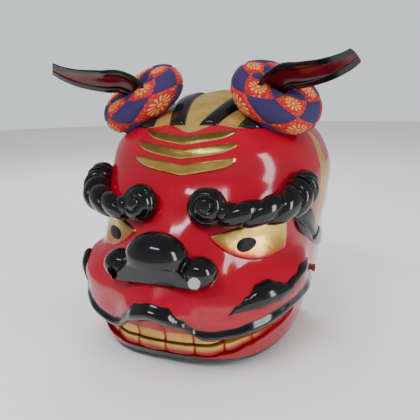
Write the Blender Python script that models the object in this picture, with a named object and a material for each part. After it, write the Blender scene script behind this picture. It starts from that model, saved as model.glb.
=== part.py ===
"""Lion dance head: a lacquered, hollow shishi head with a hinged lower jaw.

The face looks along -Y, +X is the viewer's right and the floor is at z = 0.
Positions in the tables are shares of the head's half width, depth and height.
"""

import math

import bmesh
import bpy
from mathutils import Matrix, Vector
from mathutils.bvhtree import BVHTree

# Driving sizes in metres
HEAD_WIDTH = 0.300
HEAD_DEPTH = 0.260
NOSE_FORWARD = 0.0042
HEAD_HEIGHT = 0.298
SHELL_WALL = 0.006
CROWN_STEP = 0.004
SEAT_GAP = 0.0005
TOOTH_THICKNESS = 0.005
TOOTH_CLEARANCE = 0.0008
LOWER_TOOTH_HEIGHT = 0.012
JAW_WALL = 0.007
JAW_FLOOR = 0.007
JAW_REAR_INSET = 0.050
BAND_RISE = 0.0022
RIB_RISE = 0.0045
EYE_BULGE = 0.0035
LOCK_RISE = 0.006
TRIM_ROOT = 0.003
RIB_REAR_INSET = 0.003
PIN_RADIUS = 0.0030
PIN_HEAD_RADIUS = 0.0050
PIN_HEAD_LENGTH = 0.004
PIN_CLEARANCE = 0.0004
HINGE_INSET = 0.068
HINGE_Z = 0.070
LUG_RADIUS = 0.011
UPRIGHT_FOOT = 0.032
UPRIGHT_INSET = 0.0004
NOSTRIL_RADIUS = 0.0065
PAD_TUBE = 0.0215
PAD_LONG = 0.061
PAD_SHORT = 0.046
EAR_THICKNESS = 0.005
PAD_CLEARANCE = 0.0006
EAR_CLEARANCE = 0.0019

HALF_WIDTH = HEAD_WIDTH / 2
REAR_Y = (HEAD_DEPTH + NOSE_FORWARD) / 2
MIDDLE_Y = REAR_Y - HEAD_DEPTH / 2
JAW_REAR = REAR_Y - JAW_REAR_INSET
HINGE_Y = REAR_Y - HINGE_INSET

# Level sections of the upper head: height, reach forward from the rear rim,
# half width and squareness of the outline
SECTIONS = [
    (0.114, 0.896, 0.880, 3.0),
    (0.164, 0.904, 0.900, 3.2),
    (0.230, 0.908, 0.920, 3.2),
    (0.295, 0.896, 0.933, 3.0),
    (0.361, 0.869, 0.940, 2.6),
    (0.427, 0.831, 0.953, 2.5),
    (0.492, 0.785, 0.977, 2.4),
    (0.557, 0.735, 0.990, 2.4),
    (0.623, 0.681, 1.000, 2.4),
    (0.688, 0.645, 0.990, 2.4),
    (0.755, 0.635, 0.940, 2.4),
    (0.802, 0.600, 0.887, 2.4),
    (0.852, 0.538, 0.793, 2.3),
    (0.896, 0.454, 0.683, 2.3),
    (0.932, 0.360, 0.540, 2.2),
    (0.967, 0.250, 0.375, 2.2),
    (0.990, 0.130, 0.200, 2.1),
    (1.000, 0.000, 0.000, 2.0),
]

# Forms of the face: across, up, spread across, spread up, rise outward
FACE_FORMS = [
    (0.00, 0.287, 0.350, 0.105, 0.084),
    (0.00, 0.475, 0.170, 0.130, 0.034),
    (0.57, 0.450, 0.260, 0.065, -0.034),
    (0.62, 0.604, 0.340, 0.060, 0.014),
    (0.54, 0.371, 0.110, 0.055, -0.018),
]
# Lip corners and cheeks: direction in degrees, up, spread in degrees, spread up, rise
SIDE_FORMS = [
    (38.0, 0.290, 15.0, 0.052, 0.062),
    (44.0, 0.340, 10.0, 0.030, 0.046),
]
FACE_FORM_FRONT = -0.038
FACE_FORM_BACK = 0.192

# Lower edge of the upper lip and the line where the teeth meet:
# direction from the rear centre in degrees, height
LIP_EDGE = [
    (0.0, 0.234), (6.0, 0.204), (12.5, 0.149), (20.0, 0.160), (28.6, 0.176),
    (38.0, 0.196), (50.0, 0.214), (60.0, 0.211), (70.0, 0.188), (80.0, 0.184), (90.0, 0.184),
]
BITE_LINE = [
    (0.0, 0.097), (12.0, 0.099), (18.0, 0.112), (24.0, 0.130), (32.0, 0.147), (60.0, 0.158),
]
TEETH_SPREAD = 50.0
TEETH_BEHIND_LIP = 0.024
TEETH_BACK_LEAN = 0.0015
LIP_ROLL_ABOVE_EDGE = 0.045
LIP_ROLL_SPREAD = 0.040
LIP_ROLL_RISE = 0.020

# Lower jaw: share of its own height, reach, half width
JAW_SECTIONS = [(0.0, 0.812, 0.826), (0.25, 0.848, 0.840), (0.55, 0.872, 0.848), (1.0, 0.886, 0.852)]
JAW_SQUARENESS = 3.3
JAW_REAR_TOP = 0.163
JAW_RISE_START = 44.0
JAW_RISE_END = 58.0

# Gold forehead bands: lower and upper edge at the middle, height of the tips, half length
FOREHEAD_BANDS = [(0.686, 0.727, 0.757, 0.415), (0.753, 0.784, 0.805, 0.405), (0.804, 0.831, 0.852, 0.395)]

# Crown ribs: distance across at the front and at the rear, half width at both
CROWN_RIBS = [(0.130, 0.290, 0.055, 0.088), (0.440, 0.570, 0.065, 0.085)]

# Brow: across, back, up, radius as a share of the half width
BROW_PATH = [
    (0.330, -0.247, 0.566, 0.088),
    (0.480, -0.232, 0.566, 0.093),
    (0.630, -0.192, 0.572, 0.100),
    (0.765, -0.132, 0.583, 0.112),
    (0.845, -0.052, 0.603, 0.122),
    (0.878, 0.010, 0.632, 0.120),
    (0.872, 0.044, 0.665, 0.096),
    (0.855, 0.058, 0.694, 0.052),
]
BROW_CURL = (0.268, -0.243, 0.590)
BROW_CURL_RADIUS = 0.0215
BROW_CURL_DEPTH = 0.0150

# Nose lobes: across, back, up, and the three radii as shares of the half width
NOSE_LOBES = [
    (0.000, -0.415, 0.441, 0.192, 0.178, 0.178),
    (0.305, -0.395, 0.394, 0.140, 0.125, 0.118),
    (-0.305, -0.395, 0.394, 0.140, 0.125, 0.118),
    (0.000, -0.405, 0.380, 0.380, 0.135, 0.075),
]
NOSE_BASE = 0.352
NOSTRIL = (0.312, 0.382)

# Ears: across, back, up of the middle line, width and depth of the channel
EAR_PATH = [
    (0.525, 0.185, 0.880, 0.120, 0.050),
    (0.575, 0.120, 0.985, 0.185, 0.075),
    (0.690, 0.075, 1.030, 0.210, 0.080),
    (0.830, 0.035, 1.038, 0.200, 0.062),
    (1.000, -0.005, 1.052, 0.165, 0.042),
    (1.130, -0.030, 1.074, 0.130, 0.028),
    (1.205, -0.045, 1.096, 0.100, 0.018),
]
EAR_OPENING = (0.10, -0.75, -0.65)
PAD_CENTRE = (0.593, 0.196, 0.966)
PAD_LONG_AXIS = (9.1, -2.1, -5.7)
PAD_HOLE_AXIS = (0.42, -0.62, 0.66)

# Side locks: back, up and half width, seen from the side
LOCK_PATH = [
    (0.066, 0.542, 0.046), (0.078, 0.492, 0.092), (0.105, 0.440, 0.080), (0.160, 0.378, 0.045), (0.220, 0.330, 0.012),
]

COLUMNS = 36
ROWS = 19
FINE_COLUMNS = 160
FINE_ROWS = 120


def clear_scene():
    for thing in list(bpy.data.objects):
        bpy.data.objects.remove(thing, do_unlink=True)


def new_collection(name):
    collection = bpy.data.collections.new(name)
    bpy.context.scene.collection.children.link(collection)
    return collection


def lacquer(name, color, roughness, metallic=0.0):
    material = bpy.data.materials.new(name)
    material.use_nodes = True
    shader = material.node_tree.nodes["Principled BSDF"]
    shader.inputs["Base Color"].default_value = (*color, 1.0)
    shader.inputs["Roughness"].default_value = roughness
    shader.inputs["Metallic"].default_value = metallic
    return material


def add_object(name, mesh, material, collection):
    thing = bpy.data.objects.new(name, mesh)
    collection.objects.link(thing)
    if material:
        mesh.materials.append(material)
    return thing


def mesh_from_bmesh(name, bm):
    bmesh.ops.recalc_face_normals(bm, faces=bm.faces)
    mesh = bpy.data.meshes.new(name)
    bm.to_mesh(mesh)
    bm.free()
    mesh.shade_smooth()
    mesh.set_sharp_from_angle(angle=math.radians(50))
    return mesh


def smooth_step(value):
    value = min(max(value, 0.0), 1.0)
    return value * value * (3 - 2 * value)


def spline(table, place):
    """Read a table of equal-step rows at a fractional row number."""
    last = len(table) - 1
    place = min(max(place, 0.0), float(last))
    row = min(int(place), last - 1)
    part = place - row
    here = Vector(table[row])
    after = Vector(table[row + 1])
    before = Vector(table[row - 1]) if row > 0 else 2 * here - after
    beyond = Vector(table[row + 2]) if row + 2 <= last else 2 * after - here
    slope_here = (after - before) / 2
    slope_after = (beyond - here) / 2
    square = part * part
    cube = square * part
    return ((2 * cube - 3 * square + 1) * here + (cube - 2 * square + part) * slope_here
            + (3 * square - 2 * cube) * after + (cube - square) * slope_after)


def read_line(table, degrees):
    """Height on a line given as direction and height, eased between its points."""
    degrees = abs(degrees)
    for (start, low), (end, high) in zip(table, table[1:]):
        if degrees <= end:
            return low + (high - low) * smooth_step((degrees - start) / (end - start))
    return table[-1][1]


def row_at_height(height):
    """Fractional row of SECTIONS at a height share."""
    low = 0.0
    high = float(len(SECTIONS) - 1)
    for _ in range(30):
        middle = (low + high) / 2
        if spline([row[:3] for row in SECTIONS], middle).x < height:
            low = middle
        else:
            high = middle
    return (low + high) / 2


def bump(value, centre, spread):
    return math.exp(-((value - centre) / spread) ** 2)


def crown_edge(across):
    """Height share of the wavy front edge of the crown."""
    wave = math.cos(math.tau * across / 0.45) * math.exp(-(across / 0.33) ** 2)
    return 0.850 - 0.015 * wave


def head_point(degrees, row):
    """Outer surface point for a direction about the rear centre and a section row."""
    up, reach, half, square = spline(SECTIONS, row)
    angle = math.radians(degrees)
    reach_m = max(reach, 1e-5) * HEAD_DEPTH
    half_m = max(half, 1e-5) * HALF_WIDTH
    side = abs(math.sin(angle)) / half_m
    front = abs(math.cos(angle)) / reach_m
    radius = (side ** square + front ** square) ** (-1 / square)
    across = abs(radius * math.sin(angle)) / HALF_WIDTH
    back = 0.5 - radius * math.cos(angle) / HEAD_DEPTH
    facing = smooth_step((FACE_FORM_BACK - back) / (FACE_FORM_BACK - FACE_FORM_FRONT))
    rise = 0.0
    for centre, height, wide, tall, form in FACE_FORMS:
        rise += form * bump(across, centre, wide) * bump(up, height, tall)
    for centre, height, wide, tall, form in SIDE_FORMS:
        rise += form * bump(abs(degrees), centre, wide) * bump(up, height, tall)
    lip = read_line(LIP_EDGE, degrees) + LIP_ROLL_ABOVE_EDGE
    rise += LIP_ROLL_RISE * bump(up, lip, LIP_ROLL_SPREAD)
    radius += rise * facing * HEAD_DEPTH
    sunk = smooth_step((up - crown_edge(across)) / 0.018)
    x = radius * math.sin(angle)
    y = REAR_Y - radius * math.cos(angle)
    z = up * HEAD_HEIGHT - CROWN_STEP * sunk * smooth_step(radius / 0.05)
    return Vector((x, y, z))


def head_normal(degrees, row):
    step = 0.4
    low = max(row - 0.05, 0.0)
    high = min(row + 0.05, len(SECTIONS) - 1.02)
    if high <= low:
        low = high - 0.1
    left = max(degrees - step, -90.0)
    right = min(degrees + step, 90.0)
    along = head_point(right, (low + high) / 2) - head_point(left, (low + high) / 2)
    upward = head_point(degrees, high) - head_point(degrees, low)
    return along.cross(upward).normalized()


def directions(count):
    """Directions across the head, closer together at the front."""
    result = []
    for number in range(count + 1):
        share = 2 * number / count - 1
        result.append(math.copysign(90 * abs(share) ** 1.25, share))
    return result


def head_grid(columns, rows, offset=0.0):
    """Rows of points from the lip edge up to the top of the rear rim."""
    top = len(SECTIONS) - 1
    grid = []
    for number in range(rows):
        line = []
        for degrees in directions(columns):
            edge = row_at_height(read_line(LIP_EDGE, degrees))
            row = edge + (top - edge) * number / rows
            point = head_point(degrees, row)
            normal = head_normal(degrees, row)
            if number == 0:
                normal.z = 0.0
                normal.normalize()
            point += normal * offset
            if abs(degrees) == 90:
                point.y = REAR_Y
            line.append(point)
        grid.append(line)
    return grid


def crown_point(offset=0.0):
    return Vector((0.0, REAR_Y, HEAD_HEIGHT + offset))


def add_sheet(bm, grid, peak):
    """Triangles over a grid of points, closed to one point above its last row.

    The diagonals mirror each other about the middle column, so that two sheets
    with the same grid lie parallel.
    """
    rows = [[bm.verts.new(point) for point in line] for line in grid]
    for lower, upper in zip(rows, rows[1:]):
        for left in range(len(lower) - 1):
            first, second, third, fourth = lower[left], lower[left + 1], upper[left + 1], upper[left]
            if left < len(lower) // 2:
                bm.faces.new((first, second, third))
                bm.faces.new((first, third, fourth))
            else:
                bm.faces.new((first, second, fourth))
                bm.faces.new((second, third, fourth))
    tip = bm.verts.new(peak)
    for left in range(len(rows[-1]) - 1):
        bm.faces.new((rows[-1][left], rows[-1][left + 1], tip))
    return rows, tip


def join_edges(bm, outer, inner):
    for first, second, third, fourth in zip(outer, outer[1:], inner[1:], inner):
        bm.faces.new((first, second, third, fourth))


def rim_of(rows, tip):
    """Edge of a sheet: up the left side to the tip and down the right side."""
    left = [line[0] for line in rows]
    right = [line[-1] for line in reversed(rows)]
    return left + [tip] + right


def shell_mesh(name, wall):
    bm = bmesh.new()
    outer, outer_tip = add_sheet(bm, head_grid(COLUMNS, ROWS), crown_point())
    inner, inner_tip = add_sheet(bm, head_grid(COLUMNS, ROWS, -wall), crown_point(-wall))
    join_edges(bm, outer[0], inner[0])
    join_edges(bm, rim_of(outer, outer_tip), rim_of(inner, inner_tip))
    return mesh_from_bmesh(name, bm)


def seat_form_mesh(offset):
    """Solid lump a little larger than the head, which trims what lies on it."""
    bm = bmesh.new()
    rows, tip = add_sheet(bm, head_grid(COLUMNS, ROWS, offset), crown_point(offset))
    middle = bm.verts.new((0.0, MIDDLE_Y, SECTIONS[0][0] * HEAD_HEIGHT))
    for left, right in zip(rows[0], rows[0][1:]):
        bm.faces.new((right, left, middle))
    rim = rim_of(rows, tip)
    hub = bm.verts.new((0.0, REAR_Y, HEAD_HEIGHT / 2))
    for first, second in zip(rim, rim[1:]):
        bm.faces.new((first, second, hub))
    bm.faces.new((rim[-1], middle, hub))
    bm.faces.new((middle, rim[0], hub))
    return mesh_from_bmesh("seat_form", bm)


class HeadSurface:
    """The outer surface of the head, found by looking at it along an axis."""

    def __init__(self):
        bm = bmesh.new()
        add_sheet(bm, head_grid(FINE_COLUMNS, FINE_ROWS), crown_point())
        bmesh.ops.recalc_face_normals(bm, faces=bm.faces)
        self.tree = BVHTree.FromBMesh(bm)
        bm.free()

    def hit(self, origin, direction):
        point, normal, _, _ = self.tree.ray_cast(Vector(origin), Vector(direction))
        if normal.dot(Vector(direction)) > 0:
            normal = -normal
        return point, normal

    def front(self, x, z):
        return self.hit((x, -HEAD_DEPTH * 2, z), (0, 1, 0))

    def side(self, hand, y, z):
        return self.hit((hand * HEAD_WIDTH, y, z), (-hand, 0, 0))

    def top(self, x, y):
        return self.hit((x, y, HEAD_HEIGHT * 2), (0, 0, -1))


def patch_mesh(name, columns, rows, place, rise, root=0.0):
    """A thin raised piece that lies on the head; its back reaches in by the root."""
    bm = bmesh.new()
    back = []
    front = []
    for row in range(rows + 1):
        back_line = []
        front_line = []
        for column in range(columns + 1):
            u = column / columns
            v = row / rows
            point, normal = place(u, v)
            back_line.append(bm.verts.new(point + normal * (SEAT_GAP - root)))
            front_line.append(bm.verts.new(point + normal * (SEAT_GAP + rise(u, v))))
        back.append(back_line)
        front.append(front_line)
    for sheet in (back, front):
        for lower, upper in zip(sheet, sheet[1:]):
            for left in range(columns):
                bm.faces.new((lower[left], lower[left + 1], upper[left + 1], upper[left]))
    for row in (0, rows):
        join_edges(bm, front[row], back[row])
    for column in (0, columns):
        join_edges(bm, [line[column] for line in front], [line[column] for line in back])
    return mesh_from_bmesh(name, bm)


def dome(u, v):
    """Rounded profile that is low at the edges of a patch."""
    return math.sqrt(max(math.sin(math.pi * u), 0.0) * max(math.sin(math.pi * v), 0.0))


def make_bands(surface, seat, material, collection):
    for number, (low, high, tip, half) in enumerate(FOREHEAD_BANDS):
        def place(u, v, low=low, high=high, tip=tip, half=half):
            across = 2 * u - 1
            away = abs(across)
            bend = away ** 1.5
            middle = low + (high - low) / 2 + (tip - (low + high) / 2) * bend
            width = (high - low) / 2 * (1 - away ** 3.0) + 0.0025
            return surface.front(across * half * HALF_WIDTH, (middle + (2 * v - 1) * width) * HEAD_HEIGHT)

        def rise(u, v):
            return BAND_RISE * (0.45 + 0.55 * dome(u, v))

        mesh = patch_mesh(f"forehead_band_{number + 1}", 14, 2, place, rise, TRIM_ROOT)
        band = add_object(f"forehead_band_{number + 1}", mesh, material, collection)
        combine(band, seat, "DIFFERENCE")


def rib_mesh(name, surface, hand, rib, margin=0.0):
    """One rounded rib on the crown, or the room for it with a margin all round."""
    front, rear, front_half, rear_half = rib

    def place(u, v):
        middle = front + (rear - front) * math.sin(v * math.pi / 2)
        width = front_half + (rear_half - front_half) * v + margin / HALF_WIDTH
        x = hand * (middle + (2 * u - 1) * width) * HALF_WIDTH
        start = rib_front(abs(x) / HALF_WIDTH) - margin
        return surface.top(x, start + (REAR_Y - RIB_REAR_INSET + margin - start) * v)

    def rise(u, v):
        return margin + RIB_RISE * (0.30 + 0.70 * math.sqrt(max(math.sin(math.pi * u), 0.0)))

    return patch_mesh(name, 4, 9, place, rise, TRIM_ROOT)


def make_ribs(surface, hand, suffix, seat, material, collection):
    for number, rib in enumerate(CROWN_RIBS):
        name = f"crown_rib_{number + 1}_{suffix}"
        thing = add_object(name, rib_mesh(name, surface, hand, rib), material, collection)
        combine(thing, seat, "DIFFERENCE")


def rib_front(across):
    """Where a rib starts behind the front edge of the crown."""
    return MIDDLE_Y + (0.015 + 0.230 * across ** 2) * HEAD_DEPTH


def eye_outline(u):
    """Lower and upper edge of an eye, from its inner corner outward."""
    across = 0.300 + 0.475 * u
    upper = 0.487 + 0.046 * u + 0.008 * math.sin(math.pi * u)
    lower = 0.481 - 0.070 * math.sin(math.pi * min(u * 0.78, 1.0)) ** 0.8
    return across, lower, upper


def make_eye(surface, hand, suffix, seat, material, collection):
    def place(u, v):
        across, lower, upper = eye_outline(u)
        return surface.front(hand * across * HALF_WIDTH, (lower + (upper - lower) * v) * HEAD_HEIGHT)

    def rise(u, v):
        return EYE_BULGE * (0.2 + 0.8 * dome(u, v))

    mesh = patch_mesh(f"eye_{suffix}", 10, 5, place, rise, TRIM_ROOT)
    eye = add_object(f"eye_{suffix}", mesh, material, collection)
    combine(eye, seat, "DIFFERENCE")


def make_lock(surface, hand, suffix, seat, material, collection):
    def place(u, v):
        back, up, half = spline(LOCK_PATH, v * (len(LOCK_PATH) - 1))
        return surface.side(hand, MIDDLE_Y + (back + (2 * u - 1) * half) * HEAD_DEPTH, up * HEAD_HEIGHT)

    def rise(u, v):
        return LOCK_RISE * (0.25 + 0.75 * dome(u, v))

    mesh = patch_mesh(f"side_lock_{suffix}", 4, 8, place, rise, TRIM_ROOT)
    lock = add_object(f"side_lock_{suffix}", mesh, material, collection)
    combine(lock, seat, "DIFFERENCE")


def mirror_x(point, hand):
    return Vector((point[0] * hand, point[1], point[2]))


def at_shares(across, back, up):
    return Vector((across * HALF_WIDTH, MIDDLE_Y + back * HEAD_DEPTH, up * HEAD_HEIGHT))


def tube_mesh(name, points, radii, smoothness=2):
    """Tapered closed tube through points, made from a curve."""
    curve = bpy.data.curves.new(name, "CURVE")
    curve.dimensions = "3D"
    curve.bevel_depth = 1.0
    curve.bevel_resolution = smoothness
    curve.use_fill_caps = True
    line = curve.splines.new("POLY")
    line.points.add(len(points) - 1)
    for knot, point, radius in zip(line.points, points, radii):
        knot.co = (*point, 1.0)
        knot.radius = radius
    guide = bpy.data.objects.new(name, curve)
    bpy.context.scene.collection.objects.link(guide)
    depsgraph = bpy.context.evaluated_depsgraph_get()
    mesh = bpy.data.meshes.new_from_object(guide.evaluated_get(depsgraph))
    bpy.data.objects.remove(guide, do_unlink=True)
    bm = bmesh.new()
    bm.from_mesh(mesh)
    bmesh.ops.remove_doubles(bm, verts=bm.verts, dist=0.00001)
    bpy.data.meshes.remove(mesh)
    return mesh_from_bmesh(name, bm)


def ball_mesh(name, centre, radii, turn=None, segments=14, rings=9):
    bm = bmesh.new()
    bmesh.ops.create_uvsphere(bm, u_segments=segments, v_segments=rings, radius=1.0)
    shape = Matrix.Diagonal((*radii, 1.0))
    if turn:
        shape = turn.to_4x4() @ shape
    bmesh.ops.transform(bm, matrix=Matrix.Translation(centre) @ shape, verts=bm.verts)
    return mesh_from_bmesh(name, bm)


def cylinder_mesh(name, start, end, radius, segments=24):
    bm = bmesh.new()
    start = Vector(start)
    end = Vector(end)
    along = end - start
    bmesh.ops.create_cone(bm, cap_ends=True, segments=segments, radius1=radius, radius2=radius, depth=along.length)
    turn = along.to_track_quat("Z", "Y").to_matrix().to_4x4()
    bmesh.ops.transform(bm, matrix=Matrix.Translation((start + end) / 2) @ turn, verts=bm.verts)
    return mesh_from_bmesh(name, bm)


def box_mesh(name, low, high):
    bm = bmesh.new()
    low = Vector(low)
    high = Vector(high)
    bmesh.ops.create_cube(bm, size=1.0)
    size = high - low
    bmesh.ops.transform(bm, matrix=Matrix.Translation((low + high) / 2) @ Matrix.Diagonal((*size, 1.0)), verts=bm.verts)
    return mesh_from_bmesh(name, bm)


class Cutters:
    """Hidden shapes that Boolean modifiers use."""

    def __init__(self, collection):
        self.collection = collection

    def add(self, name, mesh):
        cutter = add_object(name, mesh, None, self.collection)
        cutter.hide_render = True
        cutter.display_type = "WIRE"
        return cutter


def combine(thing, other, operation):
    modifier = thing.modifiers.new(f"{operation.lower()} {other.name}", "BOOLEAN")
    modifier.operation = operation
    modifier.solver = "EXACT"
    modifier.object = other


def make_brow(hand, suffix, seat, cutters, material, collection):
    count = 2 * (len(BROW_PATH) - 1)
    knots = [spline(BROW_PATH, step / 2) for step in range(count + 1)]
    points = [mirror_x(at_shares(*knot[:3]), hand) for knot in knots]
    radii = [knot[3] * HALF_WIDTH for knot in knots]
    brow = add_object(f"brow_{suffix}", tube_mesh(f"brow_{suffix}", points, radii), material, collection)
    centre = mirror_x(at_shares(*BROW_CURL), hand)
    facing = Vector((hand * 0.20, -1.0, 0.30)).normalized()
    turn = facing.to_track_quat("Z", "Y").to_matrix()
    radii = (BROW_CURL_RADIUS, BROW_CURL_RADIUS, BROW_CURL_DEPTH)
    curl = cutters.add(f"brow curl {suffix}", ball_mesh(f"brow_curl_{suffix}", centre, radii, turn))
    combine(brow, curl, "UNION")
    combine(brow, seat, "DIFFERENCE")


def make_nose(seat, nostrils, cutters, material, collection):
    meshes = []
    for number, (across, back, up, wide, deep, tall) in enumerate(NOSE_LOBES):
        radii = (wide * HALF_WIDTH, deep * HALF_WIDTH, tall * HALF_WIDTH)
        meshes.append(ball_mesh(f"nose_lobe_{number}", at_shares(across, back, up), radii))
    nose = add_object("nose", meshes[0], material, collection)
    for number, mesh in enumerate(meshes[1:]):
        combine(nose, cutters.add(f"nose wing {number}", mesh), "UNION")
    under = box_mesh("under_nose", (-HEAD_WIDTH, -HEAD_DEPTH, 0.0), (HEAD_WIDTH, MIDDLE_Y, NOSE_BASE * HEAD_HEIGHT))
    combine(nose, cutters.add("under the nose", under), "DIFFERENCE")
    combine(nose, seat, "DIFFERENCE")
    for nostril in nostrils:
        combine(nose, nostril, "DIFFERENCE")


def band_between(name, columns, rows, outer, inner):
    """Curved band closed all round, given by its outer and inner surfaces."""
    bm = bmesh.new()
    sheets = []
    for surface in (outer, inner):
        sheet = []
        for row in range(rows + 1):
            sheet.append([bm.verts.new(surface(2 * column / columns - 1, row / rows)) for column in range(columns + 1)])
        for lower, upper in zip(sheet, sheet[1:]):
            for left in range(columns):
                bm.faces.new((lower[left], lower[left + 1], upper[left + 1], upper[left]))
        sheets.append(sheet)
    for row in (0, rows):
        join_edges(bm, sheets[0][row], sheets[1][row])
    for column in (0, columns):
        join_edges(bm, [line[column] for line in sheets[0]], [line[column] for line in sheets[1]])
    return mesh_from_bmesh(name, bm)




def tooth_point(degrees, height, inset):
    """Point behind the lip at a height share, a distance in from the head's surface."""
    row = row_at_height(height)
    point = head_point(degrees, row)
    angle = math.radians(degrees)
    outward = head_normal(degrees, row)
    outward.z = 0.0
    outward.normalize()
    point -= outward * inset
    point.z = height * HEAD_HEIGHT
    return point


def make_upper_teeth(wall_form, material, collection):
    front = SHELL_WALL + SEAT_GAP

    def sheet(inset):
        def point(across, share):
            degrees = across * TEETH_SPREAD
            bottom = read_line(BITE_LINE, degrees) + TOOTH_CLEARANCE / 2 / HEAD_HEIGHT
            top = read_line(LIP_EDGE, degrees) + TEETH_BEHIND_LIP
            return tooth_point(degrees, bottom + (top - bottom) * share, inset + TEETH_BACK_LEAN * share)
        return point

    mesh = band_between("upper_teeth", 22, 3, sheet(front), sheet(front + TOOTH_THICKNESS))
    teeth = add_object("upper_teeth", mesh, material, collection)
    combine(teeth, wall_form, "DIFFERENCE")


def jaw_outer(degrees_share, share):
    """Outer point of the jaw: direction as a share of its spread, share of its height."""
    table = JAW_SECTIONS
    for (start, reach0, half0), (end, reach1, half1) in zip(table, table[1:]):
        if share <= end:
            part = (share - start) / (end - start)
            reach = reach0 + (reach1 - reach0) * part
            half = half0 + (half1 - half0) * part
            break
    return reach * HEAD_DEPTH, half * HALF_WIDTH


def jaw_radius(angle, reach, half):
    side = abs(math.sin(angle)) / half
    front = abs(math.cos(angle)) / reach
    return (side ** JAW_SQUARENESS + front ** JAW_SQUARENESS) ** (-1 / JAW_SQUARENESS)


def jaw_rear_angle(reach, half):
    """Direction at which the jaw's outline reaches its rear end."""
    low = math.radians(20)
    high = math.radians(89)
    for _ in range(40):
        middle = (low + high) / 2
        if REAR_Y - jaw_radius(middle, reach, half) * math.cos(middle) < JAW_REAR:
            low = middle
        else:
            high = middle
    return (low + high) / 2


def jaw_top(degrees):
    """Height of the jaw's upper edge: under the lower teeth, then up to the hinge."""
    degrees = abs(degrees)
    tooth_foot = read_line(BITE_LINE, degrees) * HEAD_HEIGHT - LOWER_TOOTH_HEIGHT - TOOTH_CLEARANCE / 2 - SEAT_GAP
    rise = smooth_step((degrees - JAW_RISE_START) / (JAW_RISE_END - JAW_RISE_START))
    return tooth_foot + (JAW_REAR_TOP * HEAD_HEIGHT - tooth_foot) * rise


def jaw_point(across, share, inset):
    reach, half = jaw_outer(across, share)
    reach -= inset
    half -= inset
    angle = across * jaw_rear_angle(reach, half)
    radius = jaw_radius(angle, reach, half)
    height = jaw_top(math.degrees(angle)) * share
    y = JAW_REAR if abs(across) == 1 else REAR_Y - radius * math.cos(angle)
    return Vector((radius * math.sin(angle), y, height))


def jaw_mesh():
    columns = 36
    bm = bmesh.new()
    steps = [(0.0, 0.0), (0.25, 0.0), (0.55, 0.0), (1.0, 0.0), (1.0, JAW_WALL), (0.55, JAW_WALL)]
    rings = []
    for share, inset in steps:
        rings.append([jaw_point(2 * column / columns - 1, share, inset) for column in range(columns + 1)])
    floor = []
    for point in rings[-1]:
        inner = Vector(point)
        inner.z = JAW_FLOOR
        inner.x *= 0.97
        inner.y = point.y if point.y == JAW_REAR else JAW_REAR + (point.y - JAW_REAR) * 0.97
        floor.append(inner)
    rings.append(floor)
    made = [[bm.verts.new(point) for point in ring] for ring in rings]
    for lower, upper in zip(made, made[1:]):
        join_edges(bm, lower, upper)
    bm.faces.new(made[0])
    bm.faces.new(made[-1])
    left = [ring[0] for ring in made]
    right = [ring[-1] for ring in reversed(made)]
    bm.faces.new(left + right)
    return mesh_from_bmesh("jaw", bm)


def bore_mesh(hand, start):
    """Cutter for the pin's hole, from a share of the half width outward."""
    inner = (hand * start * HALF_WIDTH, HINGE_Y, HINGE_Z)
    outer = (hand * 1.1 * HALF_WIDTH, HINGE_Y, HINGE_Z)
    return cylinder_mesh("pin_bore", inner, outer, PIN_RADIUS + PIN_CLEARANCE, 12)


def upright_mesh(inner_x, outer_x):
    """Plate that rises from the jaw's rear to the hinge, round at its top."""
    outline = [(HINGE_Y + LUG_RADIUS, UPRIGHT_FOOT), (HINGE_Y + LUG_RADIUS, HINGE_Z)]
    for step in range(1, 12):
        angle = math.pi * step / 12
        outline.append((HINGE_Y + LUG_RADIUS * math.cos(angle), HINGE_Z + LUG_RADIUS * math.sin(angle)))
    outline += [(HINGE_Y - LUG_RADIUS, HINGE_Z), (HINGE_Y - LUG_RADIUS, UPRIGHT_FOOT)]
    bm = bmesh.new()
    face = bm.faces.new([bm.verts.new((inner_x, y, z)) for y, z in outline])
    swept = bmesh.ops.extrude_face_region(bm, geom=[face])["geom"]
    moved = [item for item in swept if isinstance(item, bmesh.types.BMVert)]
    bmesh.ops.translate(bm, verts=moved, vec=(outer_x - inner_x, 0.0, 0.0))
    return mesh_from_bmesh("jaw_upright", bm)


def make_jaw(cutters, material, collection):
    jaw = add_object("jaw", jaw_mesh(), material, collection)
    for hand, suffix in ((-1, "left"), (1, "right")):
        outer_x = JAW_SECTIONS[-1][2] * HALF_WIDTH - UPRIGHT_INSET
        upright = upright_mesh(hand * (outer_x - JAW_WALL), hand * outer_x)
        combine(jaw, cutters.add(f"jaw upright {suffix}", upright), "UNION")
        combine(jaw, cutters.add(f"jaw bore {suffix}", bore_mesh(hand, 0.7)), "DIFFERENCE")


def make_lower_teeth(material, collection):
    front = SHELL_WALL + SEAT_GAP

    def sheet(inset):
        def point(across, share):
            degrees = across * (JAW_RISE_START - 1)
            top = read_line(BITE_LINE, degrees) - TOOTH_CLEARANCE / 2 / HEAD_HEIGHT
            height = top - LOWER_TOOTH_HEIGHT / HEAD_HEIGHT * (1 - share)
            result = tooth_point(degrees, max(height, SECTIONS[0][0]), inset)
            result.z = height * HEAD_HEIGHT
            return result
        return point

    mesh = band_between("lower_teeth", 22, 1, sheet(front), sheet(front + TOOTH_THICKNESS))
    add_object("lower_teeth", mesh, material, collection)


def hinge_wall(surface, hand):
    """Outer surface of the shell at the hinge."""
    return surface.side(hand, HINGE_Y, HINGE_Z)[0].x


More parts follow.
